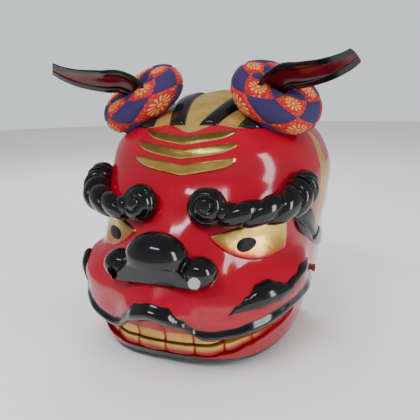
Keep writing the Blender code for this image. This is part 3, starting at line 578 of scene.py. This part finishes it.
add_modifier(nose, "SMOOTH", factor=0.5, iterations=5)
apply_modifiers(nose)
remove_rods(nose, nostril_rods)
seat_on_shell(nose.data.vertices)
nose.data.shade_smooth()
nose.data.set_sharp_from_angle(angle=math.radians(60))


# Forehead bands: three chevrons of raised carving under gold leaf, with pointed
# tips and a rounded edge.
bands = [(0.684, 0.727, 0.748, 0.410), (0.746, 0.782, 0.800, 0.410), (0.797, 0.826, 0.842, 0.370)]
band_rise = 0.0013
band_tip_closing = 0.97


def hit_surface(origins, direction):
    """Points and outward normals where lines in one direction meet the head."""
    points = []
    normals = []
    direction = Vector(direction)
    for origin in origins:
        point, normal, _, _ = surface_tree.ray_cast(Vector(origin), direction)
        if point is None:
            point, normal, _, _ = surface_tree.find_nearest(Vector(origin) + direction * 0.4)
        points.append(point)
        normals.append(-normal if normal.dot(direction) > 0 else normal)
    return np.array(points), np.array(normals)


def seen_from_front(x, z):
    return hit_surface(np.column_stack((x, np.full_like(x, -0.5), z)), (0.0, 1.0, 0.0))


def seen_from_side(hand, y, z):
    return hit_surface(np.column_stack((np.full_like(y, hand * 0.4), y, z)), (-hand, 0.0, 0.0))


def seen_from_top(x, y):
    return hit_surface(np.column_stack((x, y, np.full_like(x, 0.6))), (0.0, 0.0, -1.0))


def rounded(share, edge):
    """Profile of a raised strip: 0 at both sides, 1 across its middle."""
    near = np.clip(np.minimum(share, 1 - share) / edge, 0, 1)
    return np.sqrt(np.clip(1 - (1 - near) ** 2, 0, 1))


def sweep_faces(bm, move):
    """Copies all faces, moves the copy and joins it to them round their edges."""
    swept = bmesh.ops.extrude_face_region(bm, geom=list(bm.faces), use_keep_orig=True)["geom"]
    moved = [item for item in swept if isinstance(item, bmesh.types.BMVert)]
    bmesh.ops.translate(bm, verts=moved, vec=move)


def slab(columns, rows):
    """Flat grid and a copy of it underneath, joined round their edges, with the
    two shares of each corner and whether it lies underneath."""
    bm = bmesh.new()
    bmesh.ops.create_grid(bm, x_segments=columns, y_segments=rows, size=1.0)
    sweep_faces(bm, (0.0, 0.0, -1.0))
    places = points_of(bm.verts)
    return bm, places[:, 0] * 0.5 + 0.5, places[:, 1] * 0.5 + 0.5, -places[:, 2]


def raised_piece(name, columns, rows, place, rise, material, replaced=(), root=0.0015, reading=None):
    """Closed low piece that lies on the head and reaches into it by its root."""
    bm, u, v, under = slab(columns, rows)
    base, normals = place(u, v)
    points = base + normals * (rise(u, v) * (1 - under) - root * under)[:, None]
    set_points(bm.verts, points)
    if reading:
        set_reading(bm.verts, "airbrush", reading(u, v))
    bmesh.ops.recalc_face_normals(bm, faces=bm.faces)
    finish_piece(name, bm, [material], "head", replaced)


for number, (low, high, tip, half) in enumerate(bands):
    def band_place(u, v, low=low, high=high, tip=tip, half=half):
        away = np.sqrt((2 * u - 1) ** 2 + 0.004) - 0.063
        climb = (tip - high + 0.004) * (1 - np.clip(1 - away, 0, 1) ** 1.5)
        closing = band_tip_closing * np.clip(away, 0, 1) ** 5
        return seen_from_front((2 * u - 1) * half * half_width,
                               (low + climb + (high - low) * (closing + (1 - closing) * v)) * height)

    def band_height(u, v):
        return 0.0003 + band_rise * rounded(v, 0.22) * rounded(u, 0.04)

    raised_piece(f"gold_band_{number + 1}", 72, 14, band_place, band_height, gold_leaf,
                 [f"forehead_band_{number + 1}"])


# Eyes: bulging almond eyes under gold leaf, airbrushed from orange to red along
# their lower edge, each with a round black pupil.
eye_colors, tree, shader = plain_material("gold_eye_airbrushed", coat_weight=0.4, coat_roughness=0.05)
leaf = effect(tree, leaf_group, color=(0.66, 0.44, 0.12), roughness=0.26, crease=0.30)
fade = add_node(tree, "ShaderNodeAttribute", attribute_name="airbrush").outputs["Fac"]
blush = ramp(fade, 0.15, 0.65, interpolation_type="SMOOTHSTEP")
deep = ramp(fade, 0.45, 1.0, interpolation_type="SMOOTHSTEP")
feed(shader, base_color=mixed(deep, mixed(blush, leaf["Color"], (0.80, 0.22, 0.04)), red_color),
     roughness=leaf["Roughness"], metallic=mixed(deep, 1.0, 0.0), normal=leaf["Normal"])
pupil_black = lacquer_material("satin_pupil_black", (0.003, 0.003, 0.003), 0.35, 0.05, 0.0,
                               specular_ior_level=0.15)
eye_start, eye_length = 0.300, 0.475
eye_bulge = 0.0042
pupil_centre = (0.524, 0.448)


def eye_edges(u):
    """Height shares of an eye's upper and lower edge, from its inner corner outward."""
    upper = 0.487 + 0.046 * u + 0.008 * np.sin(math.pi * u)
    return upper, 0.481 - 0.088 * np.sin(math.pi * np.clip(u * 0.72, 0.0, 1.0)) ** 0.9


def eye_place(hand):
    def place(u, v):
        upper, lower = eye_edges(u)
        across = hand * (eye_start + eye_length * u) * half_width
        return seen_from_front(across, (lower + (upper - lower) * v) * height)
    return place


def eye_height(u, v):
    return 0.0003 + eye_bulge * np.sqrt(rounded(u, 0.5) * rounded(v, 0.5))


def pupil_place(hand, wide, tall):
    def place(u, v):
        a, b = 2 * u - 1, 2 * v - 1
        x = pupil_centre[0] * half_width + wide * a * np.sqrt(1 - b ** 2 / 2)
        z = pupil_centre[1] * height + tall * b * np.sqrt(1 - a ** 2 / 2)
        along = (x / half_width - eye_start) / eye_length
        upper, lower = eye_edges(along)
        base, normals = seen_from_front(hand * x, z)
        lift = eye_height(along, np.clip((z / height - lower) / (upper - lower), 0.0, 1.0))
        return base + normals * lift[:, None], normals
    return place


def pupil_height(u, v):
    edge = np.maximum(np.abs(2 * u - 1), np.abs(2 * v - 1))
    return 0.0001 + 0.0010 * np.sqrt(1 - edge ** 2 * 0.98)


def eye_fade(u, v):
    inner = np.clip(1 - u / 0.35, 0, 1)
    return np.clip(1.0 - v * (3.4 - 2.2 * inner), 0, 1) * 1.05


for hand, side, wide, tall in ((-1, "left", 0.0140, 0.0072), (1, "right", 0.0088, 0.0078)):
    raised_piece(f"gold_eye_{side}", 56, 34, eye_place(hand), eye_height, eye_colors,
                 [f"eye_{side}"], reading=eye_fade)
    raised_piece(f"black_pupil_{side}", 32, 32, pupil_place(hand, wide, tall), pupil_height, pupil_black,
                 root=0.0006)


# Brows: thick twisted ropes of carved wood in black lacquer. Each starts in a
# spiral roll beside the nose, runs up and outward and ends in a smooth round knob.
brow_path = [
    (0.330, -0.247, 0.566, 0.088), (0.480, -0.232, 0.566, 0.093), (0.630, -0.192, 0.572, 0.100),
    (0.765, -0.132, 0.583, 0.112), (0.845, -0.052, 0.603, 0.122), (0.878, 0.010, 0.632, 0.120),
    (0.872, 0.044, 0.665, 0.096), (0.855, 0.058, 0.694, 0.052),
]
curl_place = (0.268, -0.243, 0.590)
curl_radius = 0.0220
curl_depth = 0.0160
rope_groove = 0.28
rope_ridges = 6.5
rope_starts = 2


def at_shares(hand, across, back, up):
    return np.stack((hand * across * half_width, middle_y + back * depth, up * height), axis=-1)


def path_frame(hand, path, v, step):
    """Rows of a path's table at shares of its length, and its unit directions there."""
    last = len(path) - 1
    ahead, behind = (table_curve(path, np.clip(v * last + move, 0, last)) for move in (step, -step))
    return table_curve(path, v * last), unit(at_shares(hand, *ahead.T[:3]) - at_shares(hand, *behind.T[:3]))


def brow_shape(hand, u, v):
    twist = rope_ridges * v + hand * rope_starts * u
    ridge = np.sin(math.pi * (twist - np.floor(twist)) ** 0.75)
    fade = eased((0.84 - v) / 0.10) * eased(v / 0.04)
    groove = 1.05 - rope_groove * (1 - np.abs(ridge) ** 0.6) * fade
    cap = np.sqrt(1 - np.clip((v - 0.90) / 0.10, 0, 1) ** 2) * np.sqrt(1 - np.clip(1 - v / 0.07, 0, 1) ** 2)
    return groove * np.maximum(cap, 0.02)


def brow_place(hand):
    def place(u, v):
        knots, forward = path_frame(hand, brow_path, v, 0.028)
        top = unit(np.cross(np.array([hand * 0.2, -1.0, 0.1]), forward))
        front = np.cross(forward, top)
        angle = (u * math.tau)[:, None]
        radius = (knots[:, 3] * half_width * brow_shape(hand, u, v))[:, None]
        return at_shares(hand, *knots.T[:3]) + (top * np.cos(angle) + front * np.sin(angle)) * radius
    return place


def add_curl(bm, hand):
    """Round roll with a spiral groove, added to a brow's mesh."""
    centre = Vector(at_shares(hand, *curl_place))
    turn = Vector((hand * 0.20, -1.0, 0.30)).to_track_quat("Z", "Y").to_matrix()
    roll = bmesh.ops.create_uvsphere(bm, u_segments=128, v_segments=90, radius=1.0)
    for vert in roll["verts"]:
        x, y, z = vert.co
        reach = math.hypot(x, y)
        angle = math.atan2(y, x) * hand / math.tau
        winding = reach * 2.1 - angle + 0.25
        groove = (1 - abs(math.sin(math.pi * winding)) ** 0.5) * min(max((reach - 0.22) / 0.1, 0), 1)
        cut = 1 - 0.26 * groove if z > -0.2 else 1.0
        vert.co = centre + turn @ Vector((x * curl_radius, y * curl_radius, z * curl_depth * cut))


for hand, side in both_sides:
    bm, _ = mapped_grid(72, 420, brow_place(hand))
    bmesh.ops.remove_doubles(bm, verts=bm.verts, dist=0.00003)
    bmesh.ops.holes_fill(bm, edges=[edge for edge in bm.edges if edge.is_boundary], sides=0)
    bmesh.ops.recalc_face_normals(bm, faces=bm.faces)
    add_curl(bm, hand)
    seat_on_shell(bm.verts)
    finish_piece(f"rope_brow_{side}", bm, [black_lacquer], "head", [f"brow_{side}"], 60.0)


# Crown ribs: rounded black bars that run from the front edge of the crown to the
# rear rim, between fields of gold leaf.
crown_ribs = [(0.130, 0.290, 0.070, 0.100), (0.440, 0.570, 0.080, 0.100)]
rib_rise = 0.0048


def rib_place(hand, rib):
    front, rear, front_half, rear_half = rib

    def place(u, v):
        middle = front + (rear - front) * np.sin(v * math.pi / 2)
        wide = front_half + (rear_half - front_half) * v
        x = hand * (middle + (2 * u - 1) * wide) * half_width
        start = middle_y + (0.004 + 0.230 * (np.abs(x) / half_width) ** 2) * depth
        return seen_from_top(x, start + (rear_y - 0.003 - start) * v)
    return place


def rib_height(u, v):
    return 0.0004 + rib_rise * rounded(u, 0.5) * rounded(v, 0.06)


for hand, side in both_sides:
    for number, rib in enumerate(crown_ribs):
        raised_piece(f"black_rib_{number + 1}_{side}", 24, 60, rib_place(hand, rib), rib_height,
                     black_lacquer, [f"crown_rib_{number + 1}_{side}"])


# Side locks and cheek marks: curls of carved hair behind the cheeks and flame
# shaped marks on the cheeks, both raised and in black lacquer.
lock_path = [
    (0.066, 0.542, 0.046), (0.092, 0.495, 0.078), (0.135, 0.442, 0.082), (0.265, 0.390, 0.110),
    (0.325, 0.345, 0.070), (0.345, 0.315, 0.012),
]
lock_rise = 0.0062
lock_groove = 0.60
lock_groove_width = 0.014


def lock_shares(u, v):
    back, up, half = table_curve(lock_path, v * (len(lock_path) - 1)).T
    return back + (2 * u - 1) * half, up


def lock_place(hand):
    def place(u, v):
        back, up = lock_shares(u, v)
        return seen_from_side(hand, middle_y + back * depth, up * height)
    return place


def lock_height(u, v):
    back, up = lock_shares(u, v)
    front_groove = bump(back, 0.020 + 1.35 * (0.51 - up), lock_groove_width)
    rear_groove = bump(back, 0.184 + 1.60 * (up - 0.392), lock_groove_width)
    strands = 1 - lock_groove * np.clip(front_groove + rear_groove, 0, 1) * eased((up - 0.375) / 0.02)
    return 0.0004 + lock_rise * np.sqrt(rounded(u, 0.5) * rounded(v, 0.3)) * strands


mark_lower = [
    (17.8, 0.243), (20.5, 0.250), (24.7, 0.256), (30.5, 0.268), (35.6, 0.283), (38.0, 0.300),
    (43.0, 0.322), (50.0, 0.338),
]
mark_upper = [
    (17.8, 0.245), (20.3, 0.277), (23.0, 0.302), (25.5, 0.330), (28.8, 0.338), (31.7, 0.326),
    (34.4, 0.318), (38.0, 0.332), (42.3, 0.352), (50.0, 0.342),
]
mark_span = (17.8, 50.0)


def mark_place(hand, turned):
    def place(u, v):
        degrees = mark_span[0] + (mark_span[1] - mark_span[0]) * u
        low = read_line(mark_lower, degrees)
        up = low + (read_line(mark_upper, degrees) - low) * v
        degrees = degrees + turned * (1 - 0.5 * u)
        row = row_at_height(up)
        step = 0.05
        base = head_surface(hand * degrees, row)
        along = head_surface(hand * (degrees + 0.4), row) - base
        upward = head_surface(hand * degrees, row + step) - base
        return base, unit(np.cross(along, upward) * hand)
    return place


def mark_height(u, v):
    degrees = mark_span[0] + (mark_span[1] - mark_span[0]) * u
    dome = bump(degrees, 29.0, 6.0)
    return 0.0003 + (0.0010 + 0.0060 * dome) * rounded(v, 0.5) * rounded(u, 0.03)


for hand, side in both_sides:
    raised_piece(f"black_lock_{side}", 80, 110, lock_place(hand), lock_height, black_lacquer,
                 [f"side_lock_{side}"])
    raised_piece(f"cheek_mark_{side}", 90, 24, mark_place(hand, 0.0 if hand > 0 else 13.0), mark_height,
                 black_lacquer)


# Teeth: two rows of carved teeth behind the lip, gold where they show and red at
# the gums. The upper row is fixed in the shell and the lower one on the jaw.
bite_line = [(0.0, 0.097), (12.0, 0.099), (18.0, 0.112), (24.0, 0.130), (32.0, 0.147), (60.0, 0.158)]
teeth_inset = 0.0065
tooth_thickness = 0.005
tooth_gap = 0.0004
lower_tooth_height = 0.012
tooth_paint, tree, shader = plain_material("gold_teeth_red_gums", coat_weight=0.2, coat_roughness=0.05)
leaf = effect(tree, leaf_group, color=(0.72, 0.46, 0.12), roughness=0.22, crease=0.25)
gum = add_node(tree, "ShaderNodeAttribute", attribute_name="gum").outputs["Fac"]
gum_area = ramp(gum, -0.001, 0.002, interpolation_type="SMOOTHSTEP")
feed(shader, base_color=mixed(gum_area, leaf["Color"], (0.42, 0.008, 0.012)), roughness=leaf["Roughness"],
     metallic=mixed(gum_area, 1.0, 0.0), normal=leaf["Normal"])


def behind_lip(degrees, share, inset):
    """Points behind the lip at a height share, a distance in from the head's surface."""
    low = np.maximum(share, sections[0, 0])
    row = row_at_height(low)
    base = head_surface(degrees, row)
    along = head_surface(degrees + 0.4, row) - head_surface(degrees - 0.4, row)
    outward = unit(np.column_stack((along[:, 1], -along[:, 0])))
    base[:, :2] -= outward * np.reshape(inset, (-1, 1))
    base[:, 2] = share * height
    return base


def teeth(name, spread, count, bottom, top, lean, gum_height, upward, body, replaced):
    """Row of carved teeth: each is a rounded bar with a groove on both sides."""
    bm, u, v, under = slab(count * 18, 18)
    degrees = (2 * u - 1) * spread
    low = bottom(degrees)
    share = low + (top(degrees) - low) * v
    away = (1 - v) if upward else v
    bulge = np.abs(np.sin(math.pi * count * u)) ** 0.45
    corner = 1 - 0.45 * np.clip(1 - (1 - away) / 0.12, 0, 1) ** 2
    relief = 0.0028 * bulge * corner + 0.0006 + (0.0 if upward else 0.0014) * np.clip((v - 0.82) / 0.1, 0, 1)
    inset = teeth_inset + lean * v + np.where(under > 0.5, tooth_thickness, 0.0016 - relief)
    points = behind_lip(degrees, share, inset)
    edge = np.where(under > 0.5, 0.0, (1 - bulge) * np.clip(1 - (1 - away) / 0.10, 0, 1) * 0.0011)
    points[:, 2] += edge if upward else -edge
    arch = 0.0035 * bulge
    gum_values = ((share - low) * height - gum_height - arch) * (1.0 if upward else -0.45)
    gum_values = np.maximum(gum_values, (0.34 - bulge) * 0.012)
    set_points(bm.verts, points)
    set_reading(bm.verts, "gum", gum_values)
    bmesh.ops.recalc_face_normals(bm, faces=bm.faces)
    finish_piece(name, bm, [tooth_paint], body, replaced)


teeth(
    "gold_upper_teeth", 50.0, 12,
    lambda degrees: read_line(bite_line, degrees) + tooth_gap / height,
    lambda degrees: read_line(lip_edge, degrees) + 0.024,
    0.0015, 0.0095, True, "head", ["upper_teeth"])
teeth(
    "gold_lower_teeth", 43.0, 10,
    lambda degrees: read_line(bite_line, degrees) - (lower_tooth_height + tooth_gap) / height,
    lambda degrees: read_line(bite_line, degrees) - tooth_gap / height,
    0.0, 0.0035, False, "lower_jaw", ["lower_teeth"])


# Lower jaw: a carved bowl in red lacquer with a black chin, and two uprights at
# its rear that hang on the hinge pins inside the shell.
jaw_rear = 0.0821
jaw_wall = 0.007
jaw_floor = 0.007
jaw_squareness = 3.3
chin_height = 0.0125
chin_arch = 0.0055
chin_fall = 0.009
lug_radius = 0.011
lug_foot_z = 0.032
jaw_sections = np.array([
    (0.0, 0.812, 0.826), (0.25, 0.848, 0.840), (0.55, 0.872, 0.848), (1.0, 0.886, 0.852),
])
jaw_paint, tree, shader = plain_material("painted_jaw_lacquer", coat_weight=0.2, coat_roughness=0.04)
lacquer = effect(tree, lacquer_group, roughness=0.09, wave=0.14)
feed(shader, base_color=mixed(area_mask(tree, "black_area"), red_color, black_color),
     roughness=lacquer["Roughness"], normal=lacquer["Normal"])


def jaw_rear_angle(reach, half):
    """Angles at which the jaw's outline meets the plane of its rear."""
    low = np.full_like(reach, math.radians(20))
    high = np.full_like(reach, math.radians(89))
    for _ in range(40):
        middle = (low + high) / 2
        radius = outline_radius(middle, reach, half, jaw_squareness)
        ahead_of_rear = rear_y - radius * np.cos(middle) < jaw_rear
        low = np.where(ahead_of_rear, middle, low)
        high = np.where(ahead_of_rear, high, middle)
    return (low + high) / 2


def jaw_top(degrees):
    foot = read_line(bite_line, degrees) * height - lower_tooth_height - 0.0009
    rise = eased((np.abs(degrees) - 44.0) / 14.0)
    return foot + (0.163 * height - foot) * rise


profile_steps = np.array([0.0, 0.44, 0.50, 0.92, 1.0])
profile_share = np.array([0.0, 1.0, 1.0, 0.15, 0.0])
profile_inset = np.array([0.0, 0.0, 1.0, 1.0, 1.6])


def jaw_place(u, v):
    share = np.interp(v, profile_steps, profile_share)
    inset = np.interp(v, profile_steps, profile_inset) * jaw_wall
    reach = np.interp(share, jaw_sections[:, 0], jaw_sections[:, 1]) * depth - inset
    half = np.interp(share, jaw_sections[:, 0], jaw_sections[:, 2]) * half_width - inset
    foot = np.clip(1 - share / 0.16, 0, 1) ** 2 * 0.0035 * (v < 0.45)
    across = 2 * u - 1
    angle = across * jaw_rear_angle(reach, half)
    radius = outline_radius(angle, reach, half, jaw_squareness) - foot
    z = jaw_top(np.degrees(angle)) * share
    z = np.where(v > 0.50, np.maximum(z, jaw_floor), z)
    points = np.column_stack((radius * np.sin(angle), rear_y - radius * np.cos(angle), z))
    points[np.abs(across) > 0.9999, 1] = jaw_rear
    return points


jaw_bm, jaw_shares = mapped_grid(160, 60, jaw_place)
points = points_of(jaw_bm.verts)
degrees = np.degrees(np.arctan2(points[:, 0], rear_y - points[:, 1]))
chin_top = chin_height + chin_arch * bump(degrees, 0.0, 17.0)
chin_top -= chin_fall * np.minimum(np.abs(degrees) / 50.0, 1.0) ** 2
set_reading(jaw_bm.verts, "black_area", np.where(jaw_shares[:, 1] < 0.46, chin_top - points[:, 2], -0.01))
for kept_z in (0.0, jaw_floor):
    rim = [edge for edge in jaw_bm.edges
           if edge.is_boundary and all(abs(v.co.z - kept_z) < 1e-6 for v in edge.verts)]
    ends = sorted({v for edge in rim for v in edge.verts}, key=lambda v: v.co.x)
    closing = jaw_bm.edges.new((ends[0], ends[-1]))
    bmesh.ops.contextual_create(jaw_bm, geom=rim + [closing])
bmesh.ops.holes_fill(jaw_bm, edges=[edge for edge in jaw_bm.edges if edge.is_boundary], sides=0)
bmesh.ops.recalc_face_normals(jaw_bm, faces=jaw_bm.faces)
finish_piece("lacquered_jaw", jaw_bm, [jaw_paint], "lower_jaw", ["jaw"], 40.0)

for hand, side in both_sides:
    outer = jaw_sections[-1, 2] * half_width - 0.0004
    bm = bmesh.new()
    bmesh.ops.create_circle(bm, cap_ends=True, segments=48, radius=lug_radius)
    for vert in bm.verts:
        y, z = vert.co.x, vert.co.y
        if z < -1e-6:
            y = math.copysign(lug_radius, y) if abs(y) > 1e-6 else 0.0
            z = lug_foot_z - hinge_z
        vert.co = (hand * (outer - jaw_wall), hinge_y + y, hinge_z + z)
    bmesh.ops.remove_doubles(bm, verts=bm.verts, dist=0.00001)
    sweep_faces(bm, (hand * jaw_wall, 0.0, 0.0))
    bmesh.ops.recalc_face_normals(bm, faces=bm.faces)
    finish_piece(f"jaw_upright_{side}", bm, [red_lacquer], "lower_jaw")


# Hinge pins: turned pins of stained wood whose flat heads show outside the shell.
# They keep the shape of the solids and take the look of the wood.
stained_wood, tree, shader = plain_material("red_brown_stained_wood", roughness=0.5)
stretched = result_of(tree, "ShaderNodeMapping", vector=object_place(tree), scale=(0.15, 1.0, 1.0))
grain = result_of(tree, "ShaderNodeTexNoise", scale=160.0, detail=6.0, vector=stretched)
feed(shader, base_color=mixed(grain, (0.11, 0.022, 0.014), (0.30, 0.075, 0.045)),
     normal=result_of(tree, "ShaderNodeBump", strength=0.3, distance=0.0004, height=grain))
for side in ("left", "right"):
    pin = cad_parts[f"hinge_pin_{side}"]
    pin.data.materials.clear()
    pin.data.materials.append(stained_wood)


# Ears: curved leaves with a hollow front, black outside with a thick black rim
# and red inside, that red darkened to deep maroon as painted shade, held in the
# cloth rings on the crown.
ear_path = [
    (0.525, 0.185, 0.880, 0.120, 0.050), (0.575, 0.120, 0.985, 0.185, 0.075),
    (0.690, 0.075, 1.030, 0.210, 0.080), (0.830, 0.035, 1.038, 0.200, 0.062),
    (1.000, -0.005, 1.052, 0.165, 0.042), (1.130, -0.030, 1.074, 0.130, 0.028),
    (1.205, -0.045, 1.096, 0.100, 0.018),
]
ear_opening = (0.10, -0.75, -0.65)
ear_thickness = 0.005
ear_rim_rise = 0.0022
ear_rim_share = 0.155
# Inside lining: red lacquer darkened to a deep maroon, painted shade of the hollow front.
ear_red_painted_shade = lacquer_material("dark_red_ear_lining", (0.12, 0.003, 0.008), 0.16, 0.3)


def ear_points(hand, u, v, margin):
    opening = unit(np.array(ear_opening) * (hand, 1, 1))
    here, along = path_frame(hand, ear_path, v, 0.05)
    facing = unit(opening - along * (along @ opening)[:, None])
    half = here[:, 3] / 2 * half_width + margin
    deep = here[:, 4] * half_width + margin
    angle = math.pi * (u - 0.5)
    return (at_shares(hand, *here.T[:3]) + np.cross(along, facing) * (np.sin(angle) * half)[:, None]
            - facing * (np.cos(angle) * deep)[:, None])


for hand, side in both_sides:
    bm, u, v, under = slab(36, 96)
    from_edge = np.minimum(u, 1 - u)
    rim = np.clip(1 - np.abs(from_edge - 0.07) / 0.09, 0, 1)
    margin = np.where(under > 0.5, -ear_thickness / 2 - ear_rim_rise * np.sqrt(rim), ear_thickness / 2)
    set_points(bm.verts, ear_points(hand, u, v, margin))
    lining = {vert for vert, low, near in zip(bm.verts, under, from_edge)
              if low > 0.5 and near > ear_rim_share}
    for face in bm.faces:
        face.material_index = int(all(vert in lining for vert in face.verts))
    bmesh.ops.recalc_face_normals(bm, faces=bm.faces)
    finish_piece(f"leaf_ear_{side}", bm, [black_lacquer, ear_red_painted_shade], "head", [f"ear_{side}"])


# Ear rings: stuffed cloth rings round the foot of each ear, sewn from diamonds of
# red brocade with gold flowers and of plain navy cloth.
ring_centre = (0.593, 0.196, 0.966)
ring_long_axis = (9.1, -2.1, -5.7)
ring_hole_axis = (0.42, -0.62, 0.66)
ring_sewn_tube = 0.0213
ring_long_reach = 0.0395
ring_short_reach = 0.0250
diamonds_round = 5
diamonds_across = 4
diamond_long = 0.044
diamond_short = 0.036
seam_scale = 0.022
seam_dip = 0.0011
seam_width = 0.0016


# Gold chrysanthemums, one in the middle of each diamond, and scrolls between them
petal_count = 12.0
flower_radius = 0.0090
petal_start = 0.0036
heart_radius = 0.0022
scroll_start = 0.0108
brocade_group, given, result = effect_group(
    "brocade_flowers", {"Length": diamond_long, "Width": diamond_short}, ["Gold", "Thread"])
sewn = add_node(brocade_group, "ShaderNodeUVMap", uv_map="ring_cloth").outputs["UV"]
cell = result_of(brocade_group, "ShaderNodeVectorMath", operation="FRACTION", vector=sewn)
parts = add_node(brocade_group, "ShaderNodeSeparateXYZ", vector=cell).outputs
both = calc("ADD", parts["X"], parts["Y"])
apart = calc("SUBTRACT", parts["X"], parts["Y"])
along = calc("MULTIPLY", calc("MULTIPLY_ADD", both, 0.5, -0.5), given["Length"])
across = calc("MULTIPLY", calc("MULTIPLY", apart, 0.5), given["Width"])
reach = calc("SQRT", calc("ADD", calc("MULTIPLY", along, along), calc("MULTIPLY", across, across)))
petal_wave = calc("COSINE", calc("MULTIPLY", calc("ARCTAN2", across, along), petal_count))
petal_edge = calc("MULTIPLY_ADD", petal_wave, 0.0009, flower_radius)
petals = calc("MULTIPLY", calc("LESS_THAN", reach, petal_edge), calc("GREATER_THAN", petal_wave, -0.15))
petals = calc("MULTIPLY", petals, calc("GREATER_THAN", reach, petal_start))
flower = calc("MAXIMUM", petals, calc("LESS_THAN", reach, heart_radius))
contour = calc("FRACT", calc("MULTIPLY", noise(brocade_group, 95.0, 0.0), 8.0))
line = calc("LESS_THAN", calc("ABSOLUTE", calc("SUBTRACT", contour, 0.5)), 0.07)
line = calc("MULTIPLY", line, calc("GREATER_THAN", noise(brocade_group, 260.0, 0.0), 0.50))
scroll = calc("MULTIPLY", line, calc("GREATER_THAN", reach, scroll_start))
feed(result, gold=calc("MAXIMUM", flower, scroll), thread=noise(brocade_group, 2400.0, 1.0))

ring_cloth, tree, shader = plain_material("ring_patchwork_cloth", roughness=0.75, sheen_weight=0.08,
                                          sheen_roughness=0.4)
brocade = effect(tree, brocade_group, length=diamond_long, width=diamond_short)
thread_tone = noise(tree, 70.0, 4.0)
red_cloth = mixed(thread_tone, (0.36, 0.001, 0.006), (0.52, 0.003, 0.008))
gold_thread = mixed(thread_tone, (0.42, 0.15, 0.02), (0.85, 0.50, 0.14))
navy_cloth = mixed(thread_tone, (0.020, 0.011, 0.070), (0.036, 0.022, 0.105))
red_brocade = mixed(brocade["Gold"], red_cloth, gold_thread)
weave = calc("MULTIPLY_ADD", brocade["Gold"], 0.4, brocade["Thread"])
feed(shader, base_color=mixed(area_mask(tree, "red_patch"), navy_cloth, red_brocade),
     normal=result_of(tree, "ShaderNodeBump", strength=0.3, distance=0.0003, height=weave))


def ring_axes(hand):
    """Long axis of a ring, the axis of its hole and its short axis."""
    long_axis = unit(np.array(ring_long_axis) * (hand, 1, 1))
    hole = np.array(ring_hole_axis) * (hand, 1, 1)
    hole = unit(hole - long_axis * hole.dot(long_axis))
    return long_axis, hole, np.cross(hole, long_axis)


def swell(piece, frames, pressure, limit):
    """Fills a piece of cloth with air for a few frames and keeps the shape."""
    start = points_of(piece.data.vertices)
    cloth = piece.modifiers.new("cloth", "CLOTH")
    cloth.settings.use_pressure = True
    cloth.settings.uniform_pressure_force = pressure
    cloth.settings.effector_weights.gravity = 0.0
    cloth.settings.quality = 5
    cloth.point_cache.frame_end = frames
    for frame_number in range(1, frames + 1):
        bpy.context.scene.frame_set(frame_number)
    shaped = piece.evaluated_get(bpy.context.evaluated_depsgraph_get())
    end = points_of(shaped.data.vertices)
    piece.modifiers.remove(cloth)
    bpy.context.scene.frame_set(1)
    move = end - start
    length = np.linalg.norm(move, axis=1)
    move *= (np.minimum(length, limit) / np.maximum(length, 1e-9))[:, None]
    set_points(piece.data.vertices, start + move)


def ring_line(long_axis, short_axis, turn):
    """Places on the ring's middle line and the directions out of it in its plane."""
    along = np.outer(np.cos(turn), long_axis)
    across = np.outer(np.sin(turn), short_axis)
    outward = along / ring_long_reach + across / ring_short_reach
    return along * ring_long_reach + across * ring_short_reach, unit(outward)


def diamond_places(turn, roll):
    """Diamond coordinates: both go up by 1 from one diamond to the next."""
    return (np.column_stack((turn * diamonds_round + roll * diamonds_across,
                             turn * diamonds_round - roll * diamonds_across)) / math.tau)


for hand, side in both_sides:
    long_axis, hole, short_axis = ring_axes(hand)
    centre = at_shares(hand, *ring_centre)

    def ring_place(u, v):
        middle, outward = ring_line(long_axis, short_axis, u * math.tau)
        roll = (v * math.tau)[:, None]
        return centre + middle + (outward * np.cos(roll) + hole * np.sin(roll)) * ring_sewn_tube

    bm, _ = mapped_grid(72, 36, ring_place)
    close_seams(bm)
    ring = finish_piece(f"cloth_ring_{side}", bm, [ring_cloth], "head", [f"ear_pad_{side}"],
                        180.0)
    add_modifier(ring, "REMESH", mode="VOXEL", voxel_size=0.005)
    apply_modifiers(ring)
    swell(ring, 20, 4.0, 0.006)
    add_modifier(ring, "SUBSURF", levels=2, render_levels=2)
    apply_modifiers(ring)
    mesh = ring.data
    mesh.materials.clear()
    mesh.materials.append(ring_cloth)
    points = points_of(mesh.vertices)
    local = points - centre
    turn = np.arctan2(local @ short_axis / ring_short_reach, local @ long_axis / ring_long_reach)
    middle, outward = ring_line(long_axis, short_axis, turn)
    spoke = local - middle
    roll = np.arctan2(spoke @ hole, np.sum(spoke * outward, axis=1))
    places = diamond_places(turn, roll)
    from_seam = np.abs(places - np.round(places)).min(axis=1) * seam_scale
    red_side = np.where(np.floor(places).sum(axis=1) % 2 < 1, 1.0, -1.0)
    dip = seam_dip * np.exp(-(from_seam / seam_width) ** 2)
    set_points(mesh.vertices, points - unit(spoke) * dip[:, None])
    layer = mesh.attributes.new("red_patch", "FLOAT", "POINT")
    layer.data.foreach_set("value", (from_seam * red_side).astype(np.float32))
    cloth_uv = mesh.uv_layers.new(name="ring_cloth")
    corner_verts = np.zeros(len(mesh.loops), np.int32)
    mesh.loops.foreach_get("vertex_index", corner_verts)
    corner_turn = turn[corner_verts]
    corner_roll = roll[corner_verts]
    face_of = np.repeat(np.arange(len(mesh.polygons)), [len(face.vertices) for face in mesh.polygons])
    for values in (corner_turn, corner_roll):
        first_of_face = values[np.searchsorted(face_of, face_of)]
        values += np.round((first_of_face - values) / math.tau) * math.tau
    cloth_uv.data.foreach_set("uv", diamond_places(corner_turn, corner_roll).astype(np.float32).ravel())
